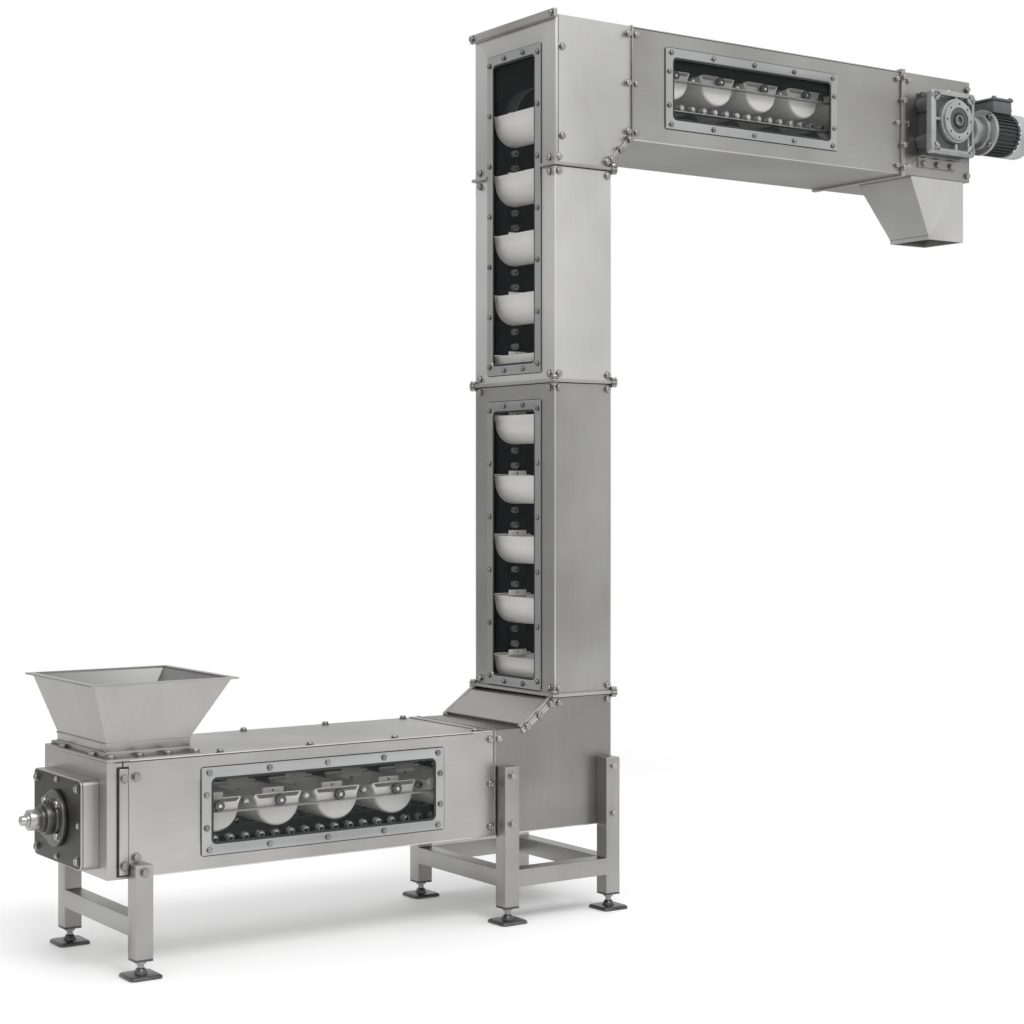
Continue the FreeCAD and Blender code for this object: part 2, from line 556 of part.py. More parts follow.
box_bed = rod("x", f"{body_x}-motor_flange-1", motor_y, motor_z, "motor_dia+0.6", "motor_long+20")
flange_bed = rod("x", f"{body_x}-motor_flange-1", motor_y, motor_z, "motor_flange_dia+0.6",
                 "motor_flange+1.3")
keep("terminal_box", cut(box_block, box_bed, flange_bed))
bearing_far = rod("y", axis_head, half, axis_high, "output_dia", "output_out*3")
keep("head_bearing", cut(bearing_far, rod("y", axis_head, f"{half}-1", axis_high,
                                          "shaft_dia+2*shaft_play", "output_out*3+2")))


# A chain wheel: a disc with a round gullet at each link joint, on a hub.
def chain_wheel(x, y, z, bore_dia):
    radius = "(link_pitch/(2*sin(180/sprocket_teeth)))"
    disc = rod("y", x, f"{y}-sprocket_wide/2", z, f"2*{radius}+12", "sprocket_wide")
    hub = rod("y", x, f"{y}-sprocket_wide*1.2", z, f"{bore_dia}+22", "sprocket_wide*2.4")
    gullets = []
    for n in range(6):
        gullets.append(rod("y", f"{x}+{radius}*cos({60 * n + 30})", f"{y}-sprocket_wide",
                           f"{z}+{radius}*sin({60 * n + 30})", "link_pitch*0.52",
                           "sprocket_wide*2"))
    hole = rod("y", x, f"{y}-sprocket_wide*2", z, bore_dia, "sprocket_wide*4")
    return cut(fuse(cut(disc, *gullets), hub), hole)


axis_low = "(carry_low-strand_gap/2)"
keep("drive_shaft", rod("y", axis_head, f"{gear_y}-output_out-2", axis_high, "shaft_dia",
                        "casing_width+gearbox_deep+output_out*4+4"))
keep("drive_sprockets", group(chain_wheel(axis_head, "-chain_centre", axis_high, "shaft_dia"),
                              chain_wheel(axis_head, "chain_centre", axis_high, "shaft_dia")))
keep("tail_shaft", rod("y", axis_tail, "-carrier_arm_from-carrier_arm-2", axis_low,
                       "tail_shaft_dia", "2*(carrier_arm_from+carrier_arm+2)"))
keep("tail_sprockets", group(chain_wheel(axis_tail, "-chain_centre", axis_low, "tail_shaft_dia"),
                             chain_wheel(axis_tail, "chain_centre", axis_low, "tail_shaft_dia")))
arm_x = "-tail_reach+spindle_in"
cross = mid_box(arm_x, f"{axis_low}-carrier_high/2", "carrier_plate",
                "2*(carrier_arm_from+carrier_arm)", "carrier_high+20")
arms = [box(arm_x, y, f"{axis_low}-carrier_high/2", f"{axis_tail}-({arm_x})+carrier_high/2",
            "carrier_arm", "carrier_high")
        for y in ("-carrier_arm_from-carrier_arm", "carrier_arm_from")]
arm_bore = rod("y", axis_tail, "-carrier_arm_from-carrier_arm-1", axis_low,
               "tail_shaft_dia+2*shaft_play", "2*(carrier_arm_from+carrier_arm+1)")
keep("takeup_carrier", cut(fuse(cross, *arms), arm_bore))


# Rails on the side walls: the bucket rollers run on the outer ones, the bare chain on the inner.
roller_in = "(roller_centre-roller_wide/2-1)"
chain_in = "(chain_centre-link_wide/2)"
under_roller = "(roller_dia/2+rail_play)"
under_chain = "(link_high/2+rail_play)"


def both_sides(thing):
    return group(thing, mirrored(thing))


def wall_strip(x, z, long, high, reach):
    return box(x, f"-{half}+sheet", z, long, f"{half}-sheet-{reach}", high)


# A level rail stays clear of the window panes and meets the walls at its two end tabs.
def level_rail(x, long, strand, drop, reach):
    z = f"({strand})-{drop}-rail_sheet"
    strip = box(x, f"-{reach}-rail_wide", z, long, "rail_wide", "rail_sheet")
    tabs = [wall_strip(start, z, "rail_tab", "rail_sheet", reach)
            for start in (x, f"({x})+({long})-rail_tab")]
    return both_sides(fuse(strip, *tabs))


def upright_rail(x, z, high, reach):
    return both_sides(wall_strip(x, z, "rail_sheet", high, reach))


return_low = "(carry_low-strand_gap)"
return_riser = "(carry_riser+strand_gap)"
return_high = "(carry_high-strand_gap)"
bend_dx = "(link_pitch/(2*sin(180/sprocket_teeth)))"
bend_low_x, bend_low_z = f"(carry_riser-{bend_dx})", f"(carry_low+{bend_dx})"
bend_high_x, bend_high_z = f"({return_riser}+{bend_dx})", f"({return_high}-{bend_dx})"
low_from, low_to = f"({axis_tail}+end_clear)", f"({bend_low_x}-end_clear)"
riser_from, riser_to = f"({bend_low_z}+end_clear)", f"({bend_high_z}+end_clear)"
high_from, high_to = f"({bend_high_x}+end_clear)", f"({axis_head}-end_clear)"
low_long, riser_long = f"({low_to}-{low_from})", f"({riser_to}-{riser_from})"
high_long = f"({high_to}-{high_from})"
back_long = f"({bend_high_z}-link_pitch-{riser_from})"
lower_rails = [level_rail(low_from, low_long, "carry_low", under_roller, roller_in),
               level_rail(low_from, low_long, return_low, under_chain, chain_in)]
left = upright_rail(f"carry_riser-{under_roller}-rail_sheet", riser_from, riser_long, roller_in)
right = upright_rail(f"carry_riser+{under_roller}", riser_from,
                     f"({bend_high_z}-{riser_from})", roller_in)
back = upright_rail(f"{return_riser}+{under_chain}", riser_from, back_long, chain_in)
keep("riser_rails", group(left, right, back))
upper_rails = [level_rail(high_from, high_long, "carry_high", under_roller, roller_in),
               level_rail(high_from, high_long, return_high, under_chain, chain_in)]


# Quarter rings carry both strands round the inside of a bend.
def bend_guide(x, z, radius, reach, first):
    turn = Rot(Vec(0, 0, 1), first)
    rings = []
    for size in (radius, f"{radius}-rail_sheet"):
        ring = bind(doc.addObject("Part::Cylinder", "Bend"), Radius=size,
                    Height=f"{half}-sheet-{reach}")
        ring.Angle = 90
        place(ring, x, f"-{half}+sheet", z, turns["y"].multiply(turn))
        rings.append(ring)
    return both_sides(cut(*rings))


keep("lower_rails", group(
    *lower_rails,
    bend_guide(bend_low_x, bend_low_z, f"({bend_dx}-{under_roller})", roller_in, 0),
    bend_guide(bend_low_x, bend_low_z, f"({bend_dx}+strand_gap-{under_chain})", chain_in, 0)))
keep("upper_rails", group(
    *upper_rails,
    bend_guide(bend_high_x, bend_high_z, f"({bend_dx}+strand_gap-{under_roller})", roller_in, 180),
    bend_guide(bend_high_x, bend_high_z, f"({bend_dx}-{under_chain})", chain_in, 180)))


# A straight run of chain on both sides: a slim core with wider outer links on every second pitch.
def chain_run(along, start, long, level, pins):
    bars = []
    count = int((value(long) - value("link_pitch")) // (2 * value("link_pitch")))
    for y in ("-chain_centre", "chain_centre"):
        if along == "x":
            parts = [box(start, f"{y}-core_wide/2", f"{level}-core_high/2", long, "core_wide",
                         "core_high")]
        else:
            parts = [box(f"{level}-core_high/2", f"{y}-core_wide/2", start, "core_high",
                         "core_wide", long)]
        for n in range(count):
            spot = f"{pins}-link_pitch*0.38+{2 * n}*link_pitch"
            if along == "x":
                parts.append(box(spot, f"{y}-link_wide/2", f"{level}-link_high/2",
                                 "link_pitch*0.76", "link_wide", "link_high"))
            else:
                parts.append(box(f"{level}-link_high/2", f"{y}-link_wide/2", spot, "link_high",
                                 "link_wide", "link_pitch*0.76"))
        bars.append(fuse(*parts))
    return bars


# A pin and a roller on each side of every bucket.
def bucket_pins(along, first, level, count):
    made = []
    for n in range(count):
        spot = f"{first}+{n}*links_per_bucket*link_pitch"
        x, z = (spot, level) if along == "x" else (level, spot)
        made.append([
            rod("y", x, f"-{roller_in}-roller_wide-2", z, "pin_dia",
                f"roller_wide+2+{roller_in}-bucket_width/2+cheek_wall+slot_wide+bucket_wall*2"),
            rod("y", x, f"-{roller_in}-roller_wide-1", z, "roller_dia", "roller_wide")])
    return made


def chain_node(name, along, start, long, level, first=None, count=0):
    pins = first if first else f"({start}+link_pitch*0.5)"
    near_bar, far_bar = chain_run(along, start, long, level, pins)
    if count:
        extra = [piece for pair in bucket_pins(along, first, level, count) for piece in pair]
        near_bar = fuse(near_bar, *extra)
        far_bar = mirrored(near_bar)
    keep(name, group(near_bar, far_bar))


def pins_in(first, long):
    return int((value(long) - value(first)) // (value("links_per_bucket") * value("link_pitch"))) + 1


low_count = pins_in("-low_first", f"{low_to}-link_pitch/2")
riser_count = pins_in("riser_first", f"{riser_to}-link_pitch/2")
high_count = pins_in("high_first", f"{high_to}-link_pitch/2")
chain_node("carry_chain_lower", "x", low_from, low_long, "carry_low", "-low_first",
           low_count)
chain_node("carry_chain_riser", "z", riser_from, riser_long, "carry_riser", "riser_first",
           riser_count)
chain_node("carry_chain_upper", "x", high_from, high_long, "carry_high", "high_first", high_count)
chain_node("return_chain_lower", "x", low_from, low_long, return_low)
chain_node("return_chain_riser", "z", riser_from, back_long, return_riser)
chain_node("return_chain_upper", "x", high_from, high_long, return_high)


# A bucket: a round-bottomed tub, and an end cheek outside each chain on the same pin.
def trough(x, z, radius, wide, top_half, top_z):
    round_part = bind(doc.addObject("Part::Cylinder", "Round"), Radius=radius, Height=wide)
    round_part.Angle = 180
    place(round_part, x, f"-({wide})/2", f"{z}-bucket_drop", turns["y"])
    skirt = frustum(f"{z}-bucket_drop", top_z, f"{x}-{radius}", f"{x}+{radius}", f"-({wide})/2",
                    f"({wide})/2", (f"{x}-({top_half})", f"{x}+({top_half})", f"-({wide})/2",
                                    f"({wide})/2"))
    return fuse(round_part, skirt)


def bucket(x, z):
    outer = trough(x, z, "bucket_radius", "bucket_width", "bucket_radius+bucket_flare",
                   "bucket_drop+bucket_rim")
    tub_wide = "bucket_width-2*cheek_wall-2*slot_wide-2*bucket_wall"
    slope = "(bucket_flare/(bucket_drop+bucket_rim))"
    inner = trough(x, z, "(bucket_radius-bucket_wall)", tub_wide,
                   f"bucket_radius-bucket_wall+bucket_flare+{slope}",
                   "bucket_drop+bucket_rim+1")
    slots = [box(f"{x}-bucket_radius*2", y, f"{z}-bucket_radius*2", "bucket_radius*4",
                 "slot_wide", "bucket_radius*4")
             for y in ("-bucket_width/2+cheek_wall", "bucket_width/2-cheek_wall-slot_wide")]
    hole = rod("y", x, "-bucket_width", z, "pin_dia+pin_play", "bucket_width*2")
    return cut(outer, inner, *slots, hole)


def bucket_run(name, along, first, level, picks):
    parts = []
    for n in picks:
        spot = f"({first}+{n}*links_per_bucket*link_pitch)"
        parts.append(bucket(spot, level) if along == "x" else bucket(level, spot))
    keep(name, group(*parts) if len(parts) > 1 else parts[0])


bucket_run("loading_bucket", "x", "-low_first", "carry_low", [0])
bucket_run("buckets_lower", "x", "-low_first", "carry_low", range(1, low_count))
bucket_run("buckets_riser", "z", "riser_first", "carry_riser", range(riser_count))
bucket_run("buckets_upper", "x", "high_first", "carry_high", range(high_count - 1))
bucket_run("discharge_bucket", "x", "high_first", "carry_high", [high_count - 1])

# Joint strips and their bolts, on the outer faces of the casing.
joint_levels = ("riser_foot+joint_lip/2", "riser_joint", "riser_head")
keep("joint_strips", group(*[joint_ring(level) for level in joint_levels]))


def face_bolt(x, z):
    return rod("y", x, f"-{half}-bolt_head", z, "bolt_dia", "bolt_head")


bolts = []
for level in joint_levels:
    for side in ("bolt_dia", "riser_depth-bolt_dia"):
        for step in ("-bolt_dia*1.8", "bolt_dia*1.8"):
            bolts.append(face_bolt(side, f"{level}+{step}"))
for seam, low, high in (("-lower_seam", "casing_floor", low_top),
                        ("upper_seam", "upper_floor", high_top)):
    for side in ("-bolt_dia*1.6", "bolt_dia*1.6"):
        bolts.append(face_bolt(f"{seam}+{side}", f"{high}-bolt_dia*2"))
    bolts.append(face_bolt(f"{seam}-bolt_dia*1.6", f"{low}+bolt_dia*3"))
keep("seam_bolts", group(*bolts))

doc.recompute()
faults = []
for thing in doc.Objects:
    if "Invalid" in thing.State or "Error" in thing.State:
        faults.append(f"{thing.Label}: {thing.State}")
    shape = getattr(thing, "Shape", None)
    if shape is not None and thing.TypeId != "Sketcher::SketchObject":
        if shape.isNull() or not shape.isValid():
            faults.append(f"{thing.Label}: shape")
if faults:
    raise RuntimeError("; ".join(faults))
for name, thing in nodes.items():
    thing.Shape.exportStep(f"parts/{name}.step")
    print(name, len(thing.Shape.Solids), round(thing.Shape.Volume / 1000, 1))
print("nodes", len(nodes))
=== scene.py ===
import bpy
import math
from mathutils import Matrix, Vector


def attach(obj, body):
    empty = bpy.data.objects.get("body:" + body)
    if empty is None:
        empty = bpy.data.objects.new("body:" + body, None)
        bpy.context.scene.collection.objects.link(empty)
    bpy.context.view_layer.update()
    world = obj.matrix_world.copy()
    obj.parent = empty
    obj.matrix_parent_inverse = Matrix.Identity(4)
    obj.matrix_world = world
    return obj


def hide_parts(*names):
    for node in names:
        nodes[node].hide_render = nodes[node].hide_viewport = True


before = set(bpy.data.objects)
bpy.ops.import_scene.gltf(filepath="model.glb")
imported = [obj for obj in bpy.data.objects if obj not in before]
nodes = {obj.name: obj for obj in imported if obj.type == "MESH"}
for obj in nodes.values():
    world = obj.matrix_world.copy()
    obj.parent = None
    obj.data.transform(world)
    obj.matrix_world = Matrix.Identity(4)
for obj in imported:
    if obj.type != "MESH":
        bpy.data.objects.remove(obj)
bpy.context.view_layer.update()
print("frame loaded:", len(nodes), "nodes")

# Where the machine's own middle lies in the frame: X from the riser's face, Y from the mid plane.
machine = {"offsetX": 169.5, "offsetY": 214.5, "halfWidth": 192.0}


def spot(x, y, z):
    return Vector(((x + machine["offsetX"]) / 1000, (y + machine["offsetY"]) / 1000, z / 1000))


def mm(value):
    return value / 1000


# Small bench tools
def clearPick():
    if bpy.context.object and bpy.context.object.mode != "OBJECT":
        bpy.ops.object.mode_set(mode="OBJECT")
    bpy.ops.object.select_all(action="DESELECT")


def pick(*things):
    clearPick()
    for thing in things:
        thing.select_set(True)
    bpy.context.view_layer.objects.active = things[0]


def settle(thing):
    pick(thing)
    bpy.ops.object.transform_apply(location=True, rotation=True, scale=True)
    return thing


def modify(thing, kind, **settings):
    pick(thing)
    change = thing.modifiers.new(kind.title(), kind)
    for name, value in settings.items():
        setattr(change, name, value)
    bpy.ops.object.modifier_apply(modifier=change.name)
    return thing


def softenEdges(thing, width, segments=2, angle=30):
    return modify(thing, "BEVEL", width=width, segments=segments, limit_method="ANGLE",
                  angle_limit=math.radians(angle), harden_normals=False)


def editFaces(thing, test):
    pick(thing)
    for vert in thing.data.vertices:
        vert.select = False
    for edge in thing.data.edges:
        edge.select = False
    for face in thing.data.polygons:
        face.select = bool(test(face.center, face.normal))
    bpy.ops.object.mode_set(mode="EDIT")
    bpy.ops.mesh.select_mode(type="FACE")


def editAll(thing):
    pick(thing)
    bpy.ops.object.mode_set(mode="EDIT")
    bpy.ops.mesh.select_all(action="SELECT")


def leaveEdit():
    bpy.ops.object.mode_set(mode="OBJECT")


def slab(x1, x2, y1, y2, z1, z2, bevel=0.0, segments=2):
    low, high = spot(x1, y1, z1), spot(x2, y2, z2)
    clearPick()
    bpy.ops.mesh.primitive_cube_add(size=1, location=(low + high) / 2)
    thing = bpy.context.object
    thing.scale = high - low
    settle(thing)
    if bevel:
        softenEdges(thing, mm(bevel), segments)
    return thing


turnTo = {"x": (0, math.radians(90), 0), "y": (math.radians(90), 0, 0), "z": (0, 0, 0)}


def drum(axis, x, y, z, radius, long, sides=32, bevel=0.0, segments=2):
    clearPick()
    bpy.ops.mesh.primitive_cylinder_add(vertices=sides, radius=mm(radius), depth=mm(long),
                                        location=spot(x, y, z), rotation=turnTo[axis])
    thing = settle(bpy.context.object)
    if bevel:
        softenEdges(thing, mm(bevel), segments, 40)
    return thing


# Templates are made round the frame's origin and copied to their places afterwards.
def plainDrum(radius, low, high, sides, bevel=0.0, segments=2):
    clearPick()
    bpy.ops.mesh.primitive_cylinder_add(vertices=sides, radius=mm(radius), depth=mm(high - low),
                                        location=(0, 0, mm(low + high) / 2))
    thing = settle(bpy.context.object)
    if bevel:
        softenEdges(thing, mm(bevel), segments, 40)
    return thing


def crossDrum(radius, wide, sides, x=0, y=0, z=0, bevel=0.0):
    clearPick()
    bpy.ops.mesh.primitive_cylinder_add(vertices=sides, radius=mm(radius), depth=mm(wide),
                                        location=(mm(x), mm(y), mm(z)), rotation=turnTo["y"])
    thing = settle(bpy.context.object)
    if bevel:
        softenEdges(thing, mm(bevel), 2, 40)
    return thing


def plainBlock(long, deep, high, y, z, bevel=0.0):
    clearPick()
    bpy.ops.mesh.primitive_cube_add(size=1, location=(0, mm(y), mm(z)))
    thing = bpy.context.object
    thing.scale = (mm(long), mm(deep), mm(high))
    settle(thing)
    if bevel:
        softenEdges(thing, mm(bevel), 2)
    return thing


# A ring with a square section: a drum with its middle bored out.
def ringPiece(axis, x, y, z, outer, inner, long, sides=48, bevel=0.0):
    thing = drum(axis, x, y, z, outer, long, sides)
    hole = drum(axis, x, y, z, inner, long * 2, sides)
    carve(thing, hole)
    if bevel:
        softenEdges(thing, mm(bevel), 2, 40)
    return thing


def carve(thing, tool):
    modify(thing, "BOOLEAN", operation="DIFFERENCE", object=tool, solver="EXACT")
    bpy.data.objects.remove(tool)
    return thing


def join(things, name=None):
    pick(*things)
    if len(things) > 1:
        bpy.ops.object.join()
    whole = bpy.context.object
    if name:
        whole.name = whole.data.name = name
    return whole


def copies(template, matrices, name):
    made = []
    for matrix in matrices:
        twin = template.copy()
        twin.data = template.data.copy()
        bpy.context.scene.collection.objects.link(twin)
        twin.matrix_world = matrix
        made.append(twin)
    bpy.data.objects.remove(template)
    return settle(join(made, name))


def piece(thing, name, material, body="frame", replaces=(), smooth=35):
    thing.name = thing.data.name = name
    settle(thing)
    thing.data.materials.clear()
    thing.data.materials.append(material)
    if smooth:
        bpy.ops.object.shade_smooth_by_angle(angle=math.radians(smooth))
    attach(thing, body)
    if replaces:
        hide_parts(*replaces)
    return thing


def assembly(parts, name, material, replaces=(), body="frame"):
    return piece(join(parts, name), name, material, body, replaces)


# A second finish on the faces that pass the test.
def paintFaces(thing, material, test):
    thing.data.materials.append(material)
    for face in thing.data.polygons:
        face.material_index = int(test(face))


# Both long sides of the casing: the way out and the level, raised by what stands there.
def bothSides(out=0):
    return ("-y", -machine["halfWidth"] - out), ("+y", machine["halfWidth"] + out)


def sidePair(inner, outer):
    return (-outer, -inner), (inner, outer)


def onCircle(count, radius, start=0):
    turns = [math.radians(start) + 2 * math.pi * n / count for n in range(count)]
    return [(radius * math.cos(turn), radius * math.sin(turn)) for turn in turns]


# Shader sums
class Wire:
    def __init__(self, tree, socket):
        self.tree, self.socket = tree, socket

    def sum(self, operation, other, swap=False):
        made = self.tree.nodes.new("ShaderNodeMath")
        made.operation = operation
        for plug, value in zip(made.inputs, (other, self) if swap else (self, other)):
            feed(self.tree, plug, value)
        return Wire(self.tree, made.outputs[0])

    def __add__(self, other):
        return self.sum("ADD", other)

    __radd__ = __add__

    def __mul__(self, other):
        return self.sum("MULTIPLY", other)

    __rmul__ = __mul__

    def __sub__(self, other):
        return self.sum("SUBTRACT", other)

    def __rsub__(self, other):
        return self.sum("SUBTRACT", other, True)

    def make(self, kind, settings=None, output=0, **inputs):
        return makeNode(self.tree, kind, settings, output, **inputs)


def feed(tree, plug, value):
    if isinstance(value, Wire):
        tree.links.new(value.socket, plug)
    else:
        plug.default_value = value


def makeNode(tree, kind, settings=None, output=0, **inputs):
    made = tree.nodes.new(kind)
    for name, value in (settings or {}).items():
        if name == "stops":
            ramp = made.color_ramp
            for stop, (place, colour) in zip(ramp.elements, value):
                stop.position, stop.color = place, colour
        else:
            setattr(made, name, value)
    for name, value in inputs.items():
        plug = made.inputs[int(name[1:])] if name[0] == "_" else made.inputs[name.replace("_", " ")]
        feed(tree, plug, value)
    return Wire(tree, made.outputs[output])


def newMaterial(name, **fixed):
    material = bpy.data.materials.new(name)
    material.use_nodes = True
    tree = material.node_tree
    shader = tree.nodes["Principled BSDF"]
    for plug, value in fixed.items():
        shader.inputs[plug.replace("_", " ")].default_value = value
    return material, tree, shader


sheetLook = {"lineShare": 0.14, "cloudScale": 2.0, "markScale": 38.0, "darkAt": 0.36, "lightAt": 0.64}


# Rolled sheet: fine streaks along the rolling direction, soft clouds and a few handling marks.
def brushedSheet(name, light, dark, along, roughness=0.36, metal=1.0, streak=420.0, grain=0.09):
    look = sheetLook
    material, tree, shader = newMaterial(name, Metallic=metal)
    place = makeNode(tree, "ShaderNodeTexCoord", output=3)
    stretch = {"x": (0.02, 1, 1), "y": (1, 0.02, 1), "z": (1, 1, 0.02)}[along]
    laid = place.make("ShaderNodeVectorMath", {"operation": "MULTIPLY"}, _0=place, _1=stretch)
    lines = laid.make("ShaderNodeTexNoise", Vector=laid, Scale=streak, Detail=3.0, Roughness=0.6)
    clouds = place.make("ShaderNodeTexNoise", Vector=place, Scale=look["cloudScale"], Detail=3.0,
                        Roughness=0.5)
    marks = place.make("ShaderNodeTexNoise", Vector=place, Scale=look["markScale"], Detail=6.0,
                       Roughness=0.7)
    tone = lines * look["lineShare"] + clouds * (1 - look["lineShare"])
    stops = [(look["darkAt"], dark + (1,)), (look["lightAt"], light + (1,))]
    colour = tone.make("ShaderNodeValToRGB", {"stops": stops}, Fac=tone)
    feed(tree, shader.inputs["Base Color"], colour)
    feed(tree, shader.inputs["Roughness"], lines * grain + clouds * 0.10 + marks * 0.06
         + (roughness - 0.5 * (grain + 0.16)))
    bump = lines.make("ShaderNodeBump", Height=lines + marks * 0.4, Strength=0.03, Distance=0.0003)
    feed(tree, shader.inputs["Normal"], bump)
    return material


# Cast or moulded skins: mottled colour over a fine pebble.
def mottled(name, light, dark, roughness, metal=0.0, pebble=260.0, depth=0.15, coat=0.0,
            spread=(0.4, 0.6), clouds=7.0):
    material, tree, shader = newMaterial(name, Metallic=metal, Coat_Weight=coat)
    place = makeNode(tree, "ShaderNodeTexCoord", output=3)
    cloud = place.make("ShaderNodeTexNoise", Vector=place, Scale=clouds, Detail=5.0, Roughness=0.6)
    fine = place.make("ShaderNodeTexNoise", Vector=place, Scale=pebble, Detail=3.0, Roughness=0.5)
    tone = cloud * 0.8 + fine * 0.2
    colour = tone.make("ShaderNodeValToRGB",
                       {"stops": [(spread[0], dark + (1,)), (spread[1], light + (1,))]}, Fac=tone)
    feed(tree, shader.inputs["Base Color"], colour)
    feed(tree, shader.inputs["Roughness"], fine * 0.12 + cloud * 0.12 + (roughness - 0.12))
    bump = fine.make("ShaderNodeBump", Height=fine, Strength=depth, Distance=0.0006)
    feed(tree, shader.inputs["Normal"], bump)
    return material


warmLight, warmDark = (0.50, 0.495, 0.48), (0.335, 0.33, 0.32)
sheetX = brushedSheet("stainlessAlongX", warmLight, warmDark, "x")
sheetZ = brushedSheet("stainlessAlongZ", warmLight, warmDark, "z")
sheetY = brushedSheet("stainlessAlongY", warmLight, warmDark, "y")
# Painted light: a lighter copy of the same stainless for the riser top, upper elbow, chute and corner
# strips.
paintedLightSheetZ = brushedSheet("stainlessPaintedLight", (0.67, 0.666, 0.655), (0.51, 0.507, 0.50), "z")
# Painted shade: darker copies of the same stainless for the upper leg, head box, lower riser and stands,
# and the darkest one for the lower elbow.
paintedShadeSheetX = brushedSheet("stainlessPaintedShadeX", (0.43, 0.427, 0.415), (0.30, 0.297, 0.288), "x")
paintedShadeSheetZ = brushedSheet("stainlessPaintedShadeZ", (0.42, 0.416, 0.404), (0.29, 0.287, 0.278), "z")
deepPaintedShadeSheetZ = brushedSheet("stainlessDeepPaintedShade", (0.30, 0.297, 0.288), (0.195, 0.193, 0.187), "z")
frameSheet = brushedSheet("windowFrameSheet", (0.46, 0.465, 0.465), (0.34, 0.343, 0.345), "x", 0.30)
# Painted highlight: a bright stainless for the strips along the folded edges.
paintedHighlightSheet = brushedSheet("paintedHighlightSheet", (0.72, 0.715, 0.70), (0.60, 0.596, 0.585), "x", 0.3)
darkPlate = brushedSheet("darkPlate", (0.075, 0.074, 0.07), (0.044, 0.043, 0.041), "z", 0.42)
# Painted shade: a darker stainless for the hopper's inner walls.
hopperPaintedShade = brushedSheet("hopperPaintedShade", (0.30, 0.30, 0.295), (0.21, 0.21, 0.206), "z", 0.5)
dullPlate = brushedSheet("dullPlate", (0.30, 0.295, 0.285), (0.20, 0.197, 0.19), "z", 0.42)
plainSheet = brushedSheet("plainSheet", (0.48, 0.475, 0.46), (0.35, 0.345, 0.335), "z", 0.38, 1.0,
                          40.0, 0.05)
insideShade = brushedSheet("insideShade", (0.075, 0.075, 0.073), (0.045, 0.045, 0.044), "z", 0.55)
insideSteel = brushedSheet("railSteel", (0.40, 0.397, 0.385), (0.30, 0.298, 0.29), "x", 0.5, 0.1)
brightSteel = mottled("turnedSteel", (0.74, 0.73, 0.71), (0.62, 0.61, 0.60), 0.27, 1.0, 500.0, 0.04)
screwSteel = mottled("screwSteel", (0.31, 0.307, 0.30), (0.18, 0.178, 0.174), 0.3, 1.0, 400.0, 0.08)
spindleSteel = mottled("spindleSteel", (0.52, 0.515, 0.50), (0.38, 0.376, 0.368), 0.26, 1.0, 400.0,
                       0.06)
boltSteel = mottled("boltSteel", (0.42, 0.415, 0.41), (0.26, 0.257, 0.25), 0.32, 1.0, 400.0, 0.08)
castGrey = mottled("castGrey", (0.46, 0.465, 0.465), (0.33, 0.334, 0.337), 0.45, 0.75, 330.0, 0.35)
# Painted shade: a dark cast grey for the gearbox's pockets, its body behind the front frame and the
# flange's recess.
castPaintedShade = mottled("castPaintedShade", (0.13, 0.132, 0.133), (0.08, 0.081, 0.083), 0.5, 0.6, 330.0, 0.3)
bearingCast = mottled("bearingCast", (0.15, 0.148, 0.145), (0.085, 0.084, 0.082), 0.36, 0.9, 300.0, 0.2)
boxGrey = mottled("boxGrey", (0.15, 0.152, 0.156), (0.10, 0.102, 0.105), 0.42, 0.1, 420.0, 0.2)
wheelNylon = mottled("wheelNylon", (0.115, 0.114, 0.11), (0.075, 0.075, 0.073), 0.42, 0.0, 500.0, 0.05)
motorPaint = mottled("motorPaint", (0.055, 0.056, 0.06), (0.035, 0.036, 0.038), 0.42, 0.0, 420.0, 0.2)
cowlPaint = mottled("cowlPaint", (0.47, 0.48, 0.48), (0.40, 0.405, 0.41), 0.4, 0.3, 420.0, 0.1)
bucketShell = mottled("bucketShell", (0.86, 0.85, 0.81), (0.79, 0.775, 0.73), 0.42, 0.0, 600.0, 0.05,
                      0.12, (0.3, 0.7), 11.0)
# Painted light: a faint warm glow on the buckets that lifts their brightness.
bucketPaintedGlow = bucketShell.node_tree.nodes["Principled BSDF"].inputs
bucketPaintedGlow["Emission Color"].default_value = (1, 0.985, 0.95, 1)
bucketPaintedGlow["Emission Strength"].default_value = 0.03
chainSteel = mottled("oiledChain", (0.46, 0.455, 0.44), (0.30, 0.296, 0.287), 0.36, 0.35, 260.0, 0.2)
pinSteel = mottled("pinSteel", (0.72, 0.71, 0.69), (0.55, 0.54, 0.53), 0.26, 1.0, 400.0, 0.05)
footBlack = mottled("footBlack", (0.13, 0.13, 0.13), (0.07, 0.07, 0.071), 0.27, 0.8, 500.0, 0.12)
# Black for seals and dark joints, and for the painted shadow lines round the window frames and clamp
# strips.
sealAndShadowBlack = mottled("sealAndShadowBlack", (0.02, 0.02, 0.021), (0.012, 0.012, 0.012), 0.55, 0.0, 600.0, 0.2)
clearPane = newMaterial("clearPane", Base_Color=(0.10, 0.115, 0.12, 1), Roughness=0.08, Alpha=0.06,
                        IOR=1.49)[0]
print("materials ready")

# CAD nodes that show as they are; every other node is stood for by a piece made below.
finishOf = {
    dullPlate: ["takeup_carrier"],
    insideSteel: ["lower_rails", "upper_rails"],
    darkPlate: ["riser_rails"],
    brightSteel: ["tail_shaft"],
    clearPane: ["lower_window_pane", "upper_window_pane", "riser_low_window_pane",
                "riser_high_window_pane"],
    chainSteel: ["drive_sprockets", "tail_sprockets"],
}
for material, members in finishOf.items():
    for member in members:
        nodes[member].data.materials.clear()
        nodes[member].data.materials.append(material)

